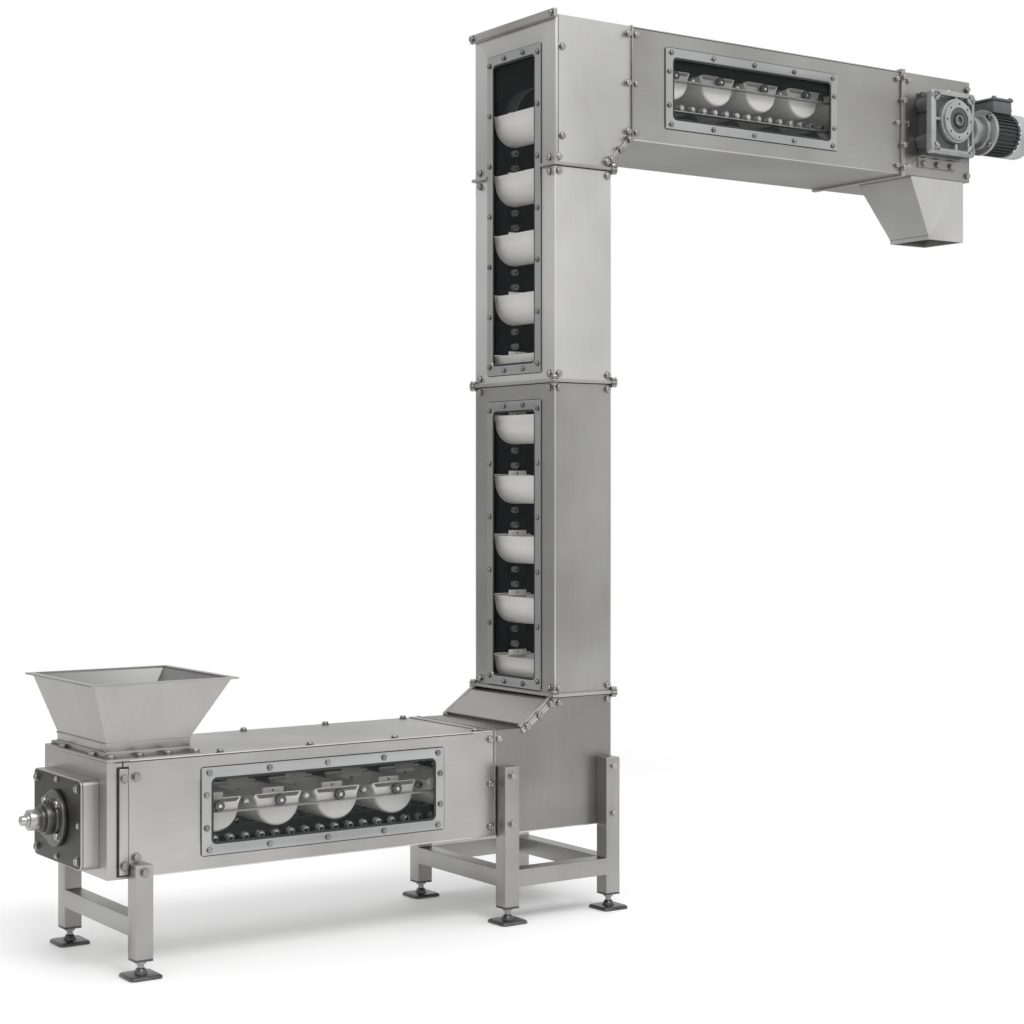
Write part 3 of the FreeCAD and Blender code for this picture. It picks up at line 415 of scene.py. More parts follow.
# Stage, light and camera
camera = {"x": -3129.6, "y": -4530.9, "z": 1131.0, "yaw": 34.57, "lens": 70.06, "shift": -0.0196}
stage = {"wide": 16.0, "solid": 2.2, "gone": 6.5, "middleX": 0.35, "middleY": 0.2, "white": 0.95,
         "glow": 0.09}
keyLight = {"place": (-1.0, -4.6, 6.8), "aim": (0.3, 0.2, 0.6), "wide": 4.0, "high": 3.0, "power": 250}
sky = {"sideDark": 0.68, "sideLight": 1.02, "lowDark": 0.38, "highLight": 1.06}
clearPick()
bpy.ops.mesh.primitive_plane_add(size=stage["wide"], location=(0, 0, -0.0005))
floor = bpy.context.object
floor.name = "studioFloor"
floorPaint, floorTree, floorShader = newMaterial("floorPaint", Roughness=0.6)
floorShader.inputs["Base Color"].default_value = (stage["white"],) * 3 + (1,)
floorShader.inputs["Emission Color"].default_value = (1, 1, 1, 1)
floorShader.inputs["Emission Strength"].default_value = stage["glow"]
ground = makeNode(floorTree, "ShaderNodeTexCoord", output=3)
reach = ground.make("ShaderNodeVectorMath", {"operation": "DISTANCE"}, 1, _0=ground,
                    _1=(stage["middleX"], stage["middleY"], 0))
feed(floorTree, floorShader.inputs["Alpha"],
     reach.make("ShaderNodeMapRange", Value=reach, From_Min=stage["solid"], From_Max=stage["gone"],
                To_Min=1.0, To_Max=0.0))
floor.data.materials.append(floorPaint)

eye = bpy.data.cameras.new("eye")
eye.lens = camera["lens"]
eye.sensor_width = 36
eye.shift_y = camera["shift"]
eye.clip_end = 100
eyeHolder = bpy.data.objects.new("eye", eye)
bpy.context.scene.collection.objects.link(eyeHolder)
eyeHolder.location = spot(camera["x"], camera["y"], camera["z"])
eyeHolder.rotation_euler = (math.radians(90), 0, math.radians(-camera["yaw"]))
bpy.context.scene.camera = eyeHolder

world = bpy.data.worlds.new("studio")
bpy.context.scene.world = world
world.use_nodes = True
air = world.node_tree
way = makeNode(air, "ShaderNodeTexCoord", output=0)
across = way.make("ShaderNodeVectorMath", {"operation": "DOT_PRODUCT"}, 1, _0=way, _1=(0.7, -0.7, 0))
upward = way.make("ShaderNodeVectorMath", {"operation": "DOT_PRODUCT"}, 1, _0=way, _1=(0, 0, 1))
sideTone = way.make("ShaderNodeMapRange", Value=across, From_Min=-1.0, From_Max=1.0,
                    To_Min=sky["sideDark"], To_Max=sky["sideLight"])
highTone = way.make("ShaderNodeMapRange", Value=upward, From_Min=-0.3, From_Max=0.2,
                    To_Min=sky["lowDark"], To_Max=sky["highLight"])
seen = makeNode(air, "ShaderNodeLightPath", output=0)
air.nodes["Background"].inputs[0].default_value = (1, 1, 1, 1)
feed(air, air.nodes["Background"].inputs[1], seen + (1 - seen) * (sideTone * highTone))


def softBox(name, place, aim, wide, high, power):
    light = bpy.data.lights.new(name, "AREA")
    light.shape = "RECTANGLE"
    light.size, light.size_y, light.energy = wide, high, power
    holder = bpy.data.objects.new(name, light)
    bpy.context.scene.collection.objects.link(holder)
    holder.location = place
    holder.rotation_euler = (Vector(aim) - Vector(place)).to_track_quat("-Z", "Y").to_euler()


softBox("keyLight", **keyLight)
bpy.context.scene.view_settings.view_transform = "Standard"
print("stage and camera ready")

# Sheet-metal pieces: the frame's own shapes with their folded and cut edges softened
def softCopy(node, name, material, width, slot, shaded, segments=2, angle=35):
    clearPick()
    thing = nodes[node].copy()
    thing.data = nodes[node].data.copy()
    bpy.context.scene.collection.objects.link(thing)
    editAll(thing)
    bpy.ops.mesh.remove_doubles(threshold=0.00001)
    bpy.ops.mesh.dissolve_limited(angle_limit=math.radians(0.5))
    leaveEdit()
    softenEdges(thing, mm(width), segments, angle)
    piece(thing, name, material, "frame", [node], 25)
    # Painted shade: the hopper's inward faces get a darker sheet, and in the other hollow casings every
    # face that looks at another wall gets the dark inside sheet.
    if shaded is hopperPaintedShade:
        middle = spot(-1157.5, 0, 0)
        paintFaces(thing, shaded, lambda face: (face.center - middle).to_2d().dot(
            face.normal.to_2d()) < -0.02)
    elif shaded:
        paintFaces(thing, shaded, lambda face: thing.ray_cast(
            face.center + face.normal * mm(0.5), face.normal, distance=mm(600))[0])
    return thing


hollow = {name: insideShade for name in ("lowerLeg", "lowerElbow", "riserLower", "riserUpper",
                                         "upperElbow", "upperLeg", "headBox")}
hollow["hopperShell"] = hopperPaintedShade

# In this table the lighter stainless copy is painted light, and the mid and dark copies are painted shade.
for node, name, material, width in (
        ("lower_casing", "lowerLeg", sheetX, 1.2),
        ("lower_lid", "lowerLid", sheetX, 0.9),
        ("lower_elbow", "lowerElbow", deepPaintedShadeSheetZ, 1.2),
        ("elbow_hatch", "slopedHatch", sheetY, 1.4),
        ("riser_lower", "riserLower", paintedShadeSheetZ, 1.2),
        ("riser_upper", "riserUpper", paintedLightSheetZ, 1.2),
        ("upper_elbow", "upperElbow", paintedLightSheetZ, 1.2),
        ("upper_casing", "upperLeg", paintedShadeSheetX, 1.2),
        ("head_casing", "headBox", paintedShadeSheetX, 1.2),
        ("head_flange", "headFlange", sheetY, 1.0),
        ("joint_strips", "jointStrips", sheetX, 1.4),
        ("top_clamp_bar", "topClampBar", sheetY, 4.0),
        ("lower_window_frame", "lowerWindowFrame", frameSheet, 2.2),
        ("upper_window_frame", "upperWindowFrame", frameSheet, 2.2),
        ("riser_low_window_frame", "riserLowWindowFrame", frameSheet, 2.2),
        ("riser_high_window_frame", "riserHighWindowFrame", frameSheet, 2.2),
        ("hopper", "hopperShell", plainSheet, 0.9),
        ("hopper_base", "hopperBase", sheetY, 1.2),
        ("tail_box", "tailBox", sheetY, 1.2),
        ("tail_stand", "tailStand", paintedShadeSheetZ, 1.6),
        ("main_stand", "mainStand", paintedShadeSheetZ, 1.6),
        ("discharge_chute", "dischargeChute", paintedLightSheetZ, 0.9),
        ("gearbox_bracket", "gearboxBracket", sheetX, 1.2)):
    softCopy(node, name, material, width, "dark_plate" if name == "gearboxBracket" else "casing",
             hollow.get(name))
print("sheet pieces ready")

# Fasteners: three kinds, each modelled once standing on z = 0 and copied to its places
towards = {"-y": Matrix.Rotation(math.radians(90), 4, "X"),
           "+y": Matrix.Rotation(math.radians(-90), 4, "X"),
           "-x": Matrix.Rotation(math.radians(-90), 4, "Y"),
           "+x": Matrix.Rotation(math.radians(90), 4, "Y"),
           "+z": Matrix.Identity(4), "-z": Matrix.Rotation(math.radians(180), 4, "X")}
head = {"washer": 10.8, "washerThick": 1.8, "dome": 8.8, "domeHigh": 6.4, "hex": 9.4, "hexHigh": 7.0,
        "screw": 6.5, "screwHigh": 4.3}


def sinkTop(thing, inner, depth):
    top = max(vert.co.z for vert in thing.data.vertices)
    editFaces(thing, lambda centre, normal: normal.z > 0.9 and centre.z > top - 1e-5)
    bpy.ops.mesh.inset(thickness=mm(inner))
    bpy.ops.transform.translate(value=(0, 0, -mm(depth)))
    leaveEdit()
    return thing


def domeBolt():
    washer = plainDrum(head["washer"], 0, head["washerThick"], 20, 0.3, 1)
    dome = plainDrum(head["dome"], head["washerThick"], head["washerThick"] + head["domeHigh"], 20, 3.2, 4)
    return join([washer, sinkTop(dome, 1.4, 1.6)], "domeBolt")


def hexBolt():
    top = head["washerThick"] + head["hexHigh"]
    parts = [plainDrum(head["washer"] + 1.4, 0, head["washerThick"], 20, 0.3, 1),
             plainDrum(head["hex"], head["washerThick"], top, 6, 0.6, 1),
             plainDrum(head["hex"] * 0.8, head["washerThick"] + 2, top + 0.5, 18, 0.3, 1)]
    return join(parts, "hexBolt")


def smallScrew():
    washer = plainDrum(head["screw"] + 1.8, 0, 1.2, 18, 0.3, 1)
    dome = plainDrum(head["screw"], 1.2, 1.2 + head["screwHigh"], 18, 2.4, 3)
    return join([washer, dome], "smallScrew")


def fixings(name, template, places, material=boltSteel, replaces=()):
    spots = [Matrix.Translation(spot(x, y, z)) @ towards[way] for way, x, y, z in places]
    whole = copies(template, spots, name)
    return piece(whole, name, material, "frame", replaces, 40)


def evenly(start, end, count):
    return [start + (end - start) * n / (count - 1) for n in range(count)]


near, far = -machine["halfWidth"], machine["halfWidth"]
seams = {"lowerSeam": -196.0, "upperSeam": 263.0, "floor": 228.0, "lid": 504.0,
         "highFloor": 2102.0, "top": 2416.0, "riserBack": 189.0}
joints = (584.5, 1431.0, 2014.0)
windows = {"lower": ("-y", -1041, -354, 261, 472), "upper": ("-y", 379, 1035, 2146, 2373),
           "riserLow": ("-x", -129, 129, 592, 1382), "riserHigh": ("-x", -129, 129, 1456, 2350)}
frameEdge = {"border": 26.0, "screwIn": 13, "endIn": 20, "sideIn": 66, "riserEndIn": 24, "thick": 4}
legs = {"tail": (-1206.5,), "main": (-169.5, 162.5), "out": 214.5, "half": 22.5}


def frameScrews():
    places, inset, out = [], frameEdge["screwIn"], frameEdge["thick"]
    end, side, riserEnd = frameEdge["endIn"], frameEdge["sideIn"], frameEdge["riserEndIn"]
    for name in ("lower", "upper"):
        way, x1, x2, z1, z2 = windows[name]
        for x in evenly(x1 + end, x2 - end, 5):
            places += [(way, x, near - out, z) for z in (z1 + inset, z2 - inset)]
        places += [(way, x, near - out, z) for x in (x1 + inset, x2 - inset)
                   for z in evenly(z1 + side, z2 - side, 2)]
    for name, count in (("riserLow", 6), ("riserHigh", 7)):
        way, y1, y2, z1, z2 = windows[name]
        places += [(way, -out, y, z) for z in evenly(z1 + riserEnd, z2 - riserEnd, count)
                   for y in (y1 + inset, y2 - inset)]
        places += [(way, -out, y, z) for y in (-45, 45) for z in (z1 + inset, z2 - inset)]
    return places


def jointBolts():
    places = []
    for level in joints:
        for z in (level - 19, level + 19):
            places += [(way, x, y, z) for way, y in bothSides() for x in (13, 176)]
            if z > 585:
                places += [("-x", 0, y, z) for y in (-168, 168)]
            if z < 2020:
                places += [("+x", seams["riserBack"], y, z) for y in (-165, -55, 55, 165)]
    return places


def seamBolts():
    places = []
    for way, y in bothSides():
        for step in (-14, 14):
            places += [(way, seams["lowerSeam"] + step, y, z) for z in (254, 366, 482)]
            places += [(way, seams["upperSeam"] + step, y, z) for z in (2124, 2258, 2394)]
    for way, seam, level in (("+z", "upperSeam", "top"), ("-z", "lowerSeam", "floor")):
        places += [(way, seams[seam] + step, y, seams[level]) for y in (-150, -50, 50, 150)
                   for step in (-14, 14)]
    return places


def flangeBolts():
    places = [(way, 1308, y, z) for z in (2122, 2190, 2326, 2398) for way, y in bothSides(7)]
    places += [(way, 1592, y, z) for way, y in bothSides() for z in (2122, 2392)]
    for x in (1284, 1332):
        places += [(way, x, y, z) for z in (2128, 2258, 2392) for way, y in bothSides()]
        places += [("+z", x, y, seams["top"]) for y in (-150, 0, 150)]
    return places


def hopperBolts():
    places = [("+z", x, y, 508) for y in (-172, 172) for x in evenly(-1262, -1046, 4)]
    return places + [("+z", x, y, 508) for x in (-1274, -1037) for y in (-90, 90)]


def legBolts():
    places = []
    for row, levels in (("tail", (247,)), ("main", (262, 388))):
        places += [(way, x, y, z) for x in legs[row] for z in levels for way, y in bothSides(45)]
    return places + [("+x", legs["main"][1] + legs["half"], y, z)
                     for y in (-legs["out"], legs["out"]) for z in (274, 376)]


def lidBolts():
    return [("+z", x, y, seams["lid"]) for y in (-180, 180) for x in evenly(-985, -250, 4)]


fixings("frameScrews", smallScrew(), frameScrews(), material=screwSteel)
fixings("seamBolts", domeBolt(), jointBolts() + seamBolts() + lidBolts(), replaces=["seam_bolts"])
fixings("flangeBolts", hexBolt(), flangeBolts() + hopperBolts() + legBolts())
print("fasteners ready")

# Gearbox: a cast square frame with pockets, corner bosses and a flanged hollow output
gear = {"x": 1455.0, "z": 2262.0, "half": 95.0, "halfHigh": 98.0, "front": -268.0, "axisX": 1468.0,
        "axisZ": 2270.0, "rim": 16.0, "rimDeep": 24.0, "pocket": 15.0, "hubBase": 68.0, "boss": 17.0,
        "bossIn": 18.0, "bossHole": 5.5, "back": 27.0, "hub": 61.0, "bore": 26.0, "recess": 40.0,
        "ports": 8, "portAt": 51.0, "port": 3.6, "shaft": 17.5, "shaftBore": 11.5}


def gearboxCase():
    x1, x2 = gear["x"] - gear["half"], gear["x"] + gear["half"]
    z1, z2 = gear["z"] - gear["halfHigh"], gear["z"] + gear["halfHigh"]
    front, rim, behind = gear["front"], gear["rim"], gear["front"] + gear["rimDeep"]
    case = slab(x1, x2, front, near, z1, z2, 9, 4)
    carve(case, slab(x1 + rim, x2 - rim, front - 20, front + gear["pocket"], z1 + rim, z2 - rim, 7, 3))
    for x in (x1, x2):
        carve(case, slab(x - 20, x + 20, behind, near + 5, z1 - 20, z2 + 20, 2))
    carve(case, slab(x1 - 20, x2 + 20, behind, near - 12, z2 - 14, z2 + 20, 2))
    parts = [case, drum("y", gear["axisX"], front + 9, gear["axisZ"], gear["hubBase"], 18, 48, 2)]
    for x in (x1 + gear["bossIn"], x2 - gear["bossIn"]):
        for z in (z1 + gear["bossIn"], z2 - gear["bossIn"]):
            boss = drum("y", x, front + 9, z, gear["boss"], 18, 24, 1.5)
            parts.append(carve(boss, drum("y", x, front, z, gear["bossHole"], 16, 16)))
    parts += [drum("y", x, -216, z, gear["back"], 46, 36, 3) for x in (x1 + 30, x2 - 30)
              for z in (z1 + 42, z2 - 42)]
    for x, z, wide, high in ((gear["axisX"], z1 + 20, 9, 30), (gear["axisX"], z2 - 18, 9, 26),
                             (x1 + 22, gear["axisZ"], 36, 9), (x2 - 14, gear["axisZ"], 16, 9)):
        parts.append(slab(x - wide / 2, x + wide / 2, front + 2, front + 17, z - high / 2,
                          z + high / 2, 1.5))
    whole = join(parts, "gearboxCase")
    piece(whole, "gearboxCase", castGrey, "frame", ["gearbox_housing"])
    # Painted shade: faces deep in the pockets, and the whole body behind the front frame, get the dark cast
    # grey.
    floorAt = mm(front + gear["pocket"] - 3 + machine["offsetY"])
    backAt = mm(front + gear["rimDeep"] + 3 + machine["offsetY"])
    paintFaces(whole, castPaintedShade, lambda face: face.center.y > floorAt and (
        face.normal.y < -0.8 or face.center.y > backAt))


def outputFlange():
    x, z, front = gear["axisX"], gear["axisZ"], gear["front"]
    flange = ringPiece("y", x, front - 4.5, z, gear["hub"], gear["bore"], 9, 56, 1.5)
    carve(flange, drum("y", x, front - 10, z, gear["recess"], 6, 48))
    for across, up in onCircle(gear["ports"], gear["portAt"]):
        carve(flange, drum("y", x + across, front - 9, z + up, gear["port"], 9, 12))
    piece(flange, "outputFlange", castGrey, "frame", ["output_flange"])
    # Painted shade: the floor of the flange's recess gets the dark cast grey.
    recessAt = mm(front - 8 + machine["offsetY"])
    paintFaces(flange, castPaintedShade, lambda face: face.center.y > recessAt and face.normal.y < -0.8)
    seal = ringPiece("y", x, front - 4, z, gear["bore"], 18.2, 6, 40, 0.8)
    piece(seal, "shaftSeal", sealAndShadowBlack, "frame")
    shaft = drum("y", x, -29, z, gear["shaft"], 500, 36, 1.5)
    carve(shaft, drum("y", x, -279, z, gear["shaftBore"], 60, 28))
    carve(shaft, slab(x - 2.5, x + 2.5, -300, -249, z + 8, z + 14))
    piece(shaft, "driveShaft", screwSteel, "drive", ["drive_shaft"])


gearboxCase()
outputFlange()

# Motor: a finned barrel, a terminal box and a light cowl over its fan
motor = {"y": -230.0, "z": 2254.0, "neck": 37.0, "flange": 71.0, "boltAt": 60.0, "barrel": 62.5,
         "fin": 69.0, "fins": 36, "from": 1620.0, "to": 1720.0, "end": 1782.0, "shield": 67.0,
         "cowl": 69.2, "cowlWall": 2.4, "blades": 7, "blade": 54.0, "hub": 17.0, "rotor": 11.0}
grille = ((-40, 26), (-27, 40), (-13.5, 46), (0, 48), (13.5, 46), (27, 40), (40, 26))


def around(template, count, x, y, z, name):
    centre = Matrix.Translation(spot(x, y, z))
    turns = [centre @ Matrix.Rotation(2 * math.pi * n / count, 4, "X") for n in range(count)]
    return copies(template, turns, name)


def finTemplate(start, end, inner, outer, thick, bevel):
    thing = slab(0, end - start, -thick / 2, thick / 2, inner, outer, bevel, 1)
    thing.location = -spot(0, 0, 0)
    return settle(thing)


def motorPieces():
    y, z, start, to, end = motor["y"], motor["z"], motor["from"], motor["to"], motor["end"]
    parts = [drum("x", 1579, y, z, motor["neck"], 58, 40, 1.5), drum("x", 1562, y, z, 46, 24, 40, 2),
             drum("x", 1614, y, z, motor["flange"], 12, 48, 1.5), drum("x", 1600, y, z, 54, 16, 40, 3)]
    assembly(parts, "motorFlange", castGrey)
    parts = [drum("x", (start + to) / 2, y, z, motor["barrel"], to - start, 48),
             drum("x", to - 4, y, z, motor["shield"], 8, 48, 1)]
    fin = finTemplate(start, to - 8, motor["barrel"] - 2, motor["fin"], 2.2, 0.5)
    parts.append(around(fin, motor["fins"], start, y, z, "fins"))
    assembly(parts, "motorBody", motorPaint, ["motor_body"])
    cowl = drum("x", (to + end) / 2, y, z, motor["cowl"], end - to, 48, 9, 4)
    carve(cowl, drum("x", to + 27, y, z, motor["cowl"] - motor["cowlWall"], 60, 48))
    slots = [slab(to + 56, end + 6, y - half, y + half, z + rise - 3, z + rise + 3, 1)
             for rise, half in grille]
    carve(cowl, join(slots, "slots"))
    piece(cowl, "fanCowl", cowlPaint, "frame", ["fan_cowl"])
    blade = finTemplate(0, 14, 14, motor["blade"], 2.4, 0.5)
    parts = [around(blade, motor["blades"], end - 32, y, z, "blades"),
             drum("x", end - 25, y, z, motor["hub"], 16, 28, 2),
             drum("x", 1686, y, z, motor["rotor"], 150, 24)]
    assembly(parts, "coolingFan", motorPaint, ["motor_fan"], body="fan")
    parts = [slab(1626, 1708, y - 44, y + 44, z + 58, z + 98, 4, 3),
             slab(1622, 1712, y - 48, y + 48, z + 98, z + 106, 3, 3),
             slab(1634, 1700, y - 30, y + 30, z + 48, z + 62, 2),
             drum("x", 1713, y - 18, z + 78, 11, 10, 6, 1),
             drum("x", 1722, y - 18, z + 78, 8.5, 12, 20, 1)]
    assembly(parts, "terminalBox", boxGrey, ["terminal_box"])


motorPieces()
motorBolts = [("-x", 1608, motor["y"] + across, motor["z"] + up)
              for across, up in onCircle(4, motor["boltAt"], 45)]
motorBolts += [("+z", 1470, -230, 2360)] + [("-y", x, -197, 2142) for x in (1395, 1455, 1515)]
fixings("motorFlangeBolts", hexBolt(), motorBolts)
fixings("terminalScrews", smallScrew(),
        [("+z", x, motor["y"] + side, 2360) for x in (1630, 1704) for side in (-40, 40)])
farHub = {"plate": 61.0, "plateThick": 15.0, "hub": 37.0, "hubLong": 28.0, "boltAt": 49.0,
          "face": 207.0}


def headBearing():
    x, z, face, thick = gear["axisX"], gear["axisZ"], farHub["face"], farHub["plateThick"]
    parts = [drum("y", x, face - thick / 2, z, farHub["plate"], thick, 48, 2),
             drum("y", x, 205, z, farHub["hub"], farHub["hubLong"], 40, 3)]
    assembly(parts, "headBearing", castGrey, ["head_bearing"])
    fixings("headBearingBolts", hexBolt(), [("+y", x + across, face, z + up)
                                            for across, up in onCircle(4, farHub["boltAt"], 45)])


headBearing()
print("drive ready")

# Tail end: plate, flanged bearing and the take-up screw
tail = {"z": 354.0, "face": -1326.0, "flange": 68.0, "step": 47.0, "hub": 38.0, "collar": 31.0,
        "nipple": 3.2, "screw": 12.0, "sleeve": 25.0, "nut": 17.0, "boltAt": 54.0, "tip": -1418.0}
clampBar = {"from": -1253, "to": -1230, "low": 238, "high": 486, "out": 201, "shadowWidth": 4, "boltX": -1241.5}


def tailPieces():
    z, face = tail["z"], tail["face"]
    plate = softCopy("tail_end_plate", "tailEndPlate", sheetZ, 2.4, "dark_plate", None)
    paintFaces(plate, darkPlate, lambda side: side.normal.x < -0.95)
    parts = [drum("x", face - 6, 0, z, tail["flange"], 12, 56, 2.5, 3),
             drum("x", face - 14, 0, z, tail["step"], 8, 48, 2, 3),
             drum("x", face - 26, 0, z, tail["hub"], 22, 48, 2, 3),
             drum("x", face - 41, 0, z, tail["collar"], 10, 40, 1.2, 3),
             drum("z", face - 24, 0, z + tail["hub"], tail["nipple"], 12, 14, 1)]
    assembly(parts, "tailBearing", bearingCast, ["takeup_bearing"])
    rod = drum("x", (tail["tip"] - 1268) / 2, 0, z, tail["screw"], -1268 - tail["tip"], 32, 4, 3)
    carve(rod, drum("x", tail["tip"], 0, z, 3, 8, 14))
    parts = [rod, ringPiece("x", face - 58, 0, z, tail["sleeve"], tail["screw"] - 1, 30, 40, 2),
             drum("x", face - 73, 0, z, tail["nut"], 10, 36, 1.5, 3)]
    assembly(parts, "takeupScrew", spindleSteel, ["takeup_spindle"])


def clampBars():
    x1, x2, low, high, shadowWidth = (clampBar[key] for key in ("from", "to", "low", "high", "shadowWidth"))
    parts = [slab(x1, x2, y1, y2, low, high, 2.5, 3) for y1, y2 in sidePair(190, clampBar["out"])]
    assembly(parts, "tailClampStrips", sheetZ)
    # Painted shadow: a dark line round each clamp strip; a dark line also runs from its top up to the lid.
    parts = []
    for y1, y2 in sidePair(190, 192.7):
        parts += [slab(x1 - shadowWidth, x2 + shadowWidth, y1, y2, low - shadowWidth, high + shadowWidth),
                  slab(-1243, -1240, y1, y2, high + shadowWidth, 503)]
    assembly(parts, "tailShadowLines", sealAndShadowBlack)


tailPieces()
clampBars()
tailBolts = [("-x", tail["face"] - 12, across, tail["z"] + up)
             for across, up in onCircle(4, tail["boltAt"], 45)]
tailBolts += [(way, x, y, z) for x, out, low in ((clampBar["boltX"], 9, 260), (-1208, 0, 276))
              for z in (low, 464) for way, y in bothSides(out)]
fixings("tailBolts", hexBolt(), tailBolts)
fixings("tailPlateBolts", domeBolt(),
        [("-x", tail["face"], y, z) for y in (-126, 126) for z in (268, 437)])
fixings("tailPlateScrews", smallScrew(), [("-x", tail["face"], y, z) for y, z in
                                          ((0, 262), (0, 446), (-132, 352), (132, 352))])
print("tail ready")

# Feet: a bevelled pad, a cone, a nut and a threaded stem
shoe = {"pad": 41.0, "padHigh": 9.0, "corner": 12.0, "cone": 17.0, "coneTop": 10.0, "coneHigh": 13.0,
        "stem": 7.0, "nut": 13.0, "capFrom": 39.0, "capTo": 44.0}


def footTemplate():
    clearPick()
    bpy.ops.mesh.primitive_plane_add(size=mm(2 * shoe["pad"]))
    pad = settle(bpy.context.object)
    editAll(pad)
    bpy.ops.mesh.bevel(offset=mm(shoe["corner"]), segments=5, affect="VERTICES")
    bpy.ops.mesh.select_mode(type="FACE")
    bpy.ops.mesh.select_all(action="SELECT")
    bpy.ops.mesh.extrude_region_move(TRANSFORM_OT_translate={"value": (0, 0, mm(shoe["padHigh"] - 4))})
    bpy.ops.mesh.extrude_region_move(TRANSFORM_OT_translate={"value": (0, 0, mm(4))})
    bpy.ops.transform.resize(value=(0.9, 0.9, 1))
    leaveEdit()
    parts = [softenEdges(pad, mm(1.0), 2, 20)]
    clearPick()
    bpy.ops.mesh.primitive_cone_add(vertices=32, radius1=mm(shoe["cone"]), radius2=mm(shoe["coneTop"]),
                                    depth=mm(shoe["coneHigh"]),
                                    location=(0, 0, mm(shoe["padHigh"] + shoe["coneHigh"] / 2)))
    parts.append(softenEdges(settle(bpy.context.object), mm(1.2), 2, 25))
    wide, low, high = 2 * legs["half"], shoe["capFrom"], shoe["capTo"]
    parts.append(plainBlock(wide, wide, high - low, 0, (low + high) / 2, 1.2))
    return join(parts, "foot")


def stemTemplate():
    low = shoe["padHigh"] + shoe["coneHigh"]
    parts = [plainDrum(shoe["stem"], low - 3, shoe["capFrom"] + 1, 20),
             plainDrum(shoe["nut"], shoe["capFrom"] - 7.5, shoe["capFrom"] - 0.5, 6, 0.8)]
    parts += [plainDrum(shoe["stem"] + 0.8, low + 1 + n * 2.4, low + 2.1 + n * 2.4, 20) for n in range(3)]
    return join(parts, "stem")


for row in ("tail", "main"):
    spots = [Matrix.Translation(spot(x, y, 0)) for x in legs[row] for y in (-legs["out"], legs["out"])]
    name = row + "Feet"
    piece(copies(footTemplate(), spots, name), name, footBlack, "frame",
          [row + "_feet"], 30)
    name += "Stems"
    piece(copies(stemTemplate(), spots, name), name, boltSteel, "frame", (), 30)


# Window frames: a painted shadow line round each frame, and a dark seal round each pane
# A dark ring round a window: used for the painted shadow line round the frame and for the seal round the
# pane.
def gasketAndShadowRing(name, window, larger, proud, width=6.0, thick=2.4, radius=14.0):
    way, low, high, z1, z2 = windows[window]
    wide, tall = high - low + larger, z2 - z1 + larger
    centre = ((low + high) / 2, near - proud, (z1 + z2) / 2)
    if way == "-x":
        wide, tall, centre = tall, wide, (-proud, 0, (z1 + z2) / 2)
    clearPick()
    bpy.ops.mesh.primitive_plane_add(size=1)
    thing = bpy.context.object
    thing.scale = (mm(wide), mm(tall), 1)
    editAll(settle(thing))
    bpy.ops.mesh.bevel(offset=mm(radius), segments=6, affect="VERTICES")
    bpy.ops.mesh.select_mode(type="FACE")
    bpy.ops.mesh.select_all(action="SELECT")
    bpy.ops.mesh.inset(thickness=mm(width))
    bpy.ops.mesh.delete(type="FACE")
    leaveEdit()
    modify(thing, "SOLIDIFY", thickness=mm(thick), offset=0)
    softenEdges(thing, mm(0.5), 2)
    thing.matrix_world = Matrix.Translation(spot(*centre)) @ towards[way]
    return piece(settle(thing), name, sealAndShadowBlack, "frame")


for window in windows:
    # Painted shadow: a thin dark line just outside each window frame.
    gasketAndShadowRing(window + "Outline", window, 4, 0.2, 2.6, 1.4, 9.0)
for window in windows:
    gasketAndShadowRing(window + "Gasket", window, 1 - 2 * frameEdge["border"], 1.4)


# Strips, cheek bars and clamps on the casing
def sloped(along, deep, thick, centre, angle):
    bar = slab(-along / 2, along / 2, -deep / 2, deep / 2, -thick / 2, thick / 2, 1.6)
    bar.location = -spot(0, 0, 0)
    settle(bar)
    bar.matrix_world = Matrix.Translation(spot(*centre)) @ Matrix.Rotation(math.radians(-angle), 4, "Y")
    return settle(bar)


def angleBars():
    slope = math.degrees(math.atan2(76, 105))
    bars = [sloped(140, 13, 13, (-54, side * 185, 546), slope) for side in (-1, 1)]
    bars += [sloped(112, 4, 15, (221, side * 194, 2070), 45) for side in (-1, 1)]
    bars += [sloped(136, 4, 15, (-54, side * 194, 536), slope) for side in (-1, 1)]
    assembly(bars, "angleBars", sheetX)


# Narrow strips over the casing's two seams, up both sides and across the top.
def seamStrips():
    runs = (("lowerSeam", "floor", "lid"), ("upperSeam", "highFloor", "top"))
    lid, strips = seams["lid"], []
    for y1, y2 in sidePair(192, 195.5):
        strips += [slab(seams[seam] - 2, seams[seam] + 2, y1, y2, seams[low], seams[high], 0.8)
                   for seam, low, high in runs]
    strips += [slab(seams[seam] - 2, seams[seam] + 2, near, far, seams[high], seams[high] + 3.5, 0.8)
               for seam, low, high in runs]
    strips += [slab(-226, -206, -186, 186, lid, lid + 3, 1), slab(-1042, -1027, near, far, lid, lid + 3, 1)]
    assembly(strips, "seamStrips", sheetZ)


def bandAround(x1, x2, y1, y2, z1, z2, thick, bevel=0.0):
    return [slab(x1 - thick, x2 + thick, y1 - thick, y1, z1, z2, bevel),
            slab(x1 - thick, x2 + thick, y2, y2 + thick, z1, z2, bevel),
            slab(x1 - thick, x1, y1, y2, z1, z2, bevel), slab(x2, x2 + thick, y1, y2, z1, z2, bevel)]


def hopperBands():
    bands = []
    for z1, z2, thick in ((508, 521, 3.0), (537, 541.5, 2.2)):
        bands += bandAround(-1265, -1050, -150, 150, z1, z2, thick, 0.8)
    assembly(bands, "hopperBands", sheetY)


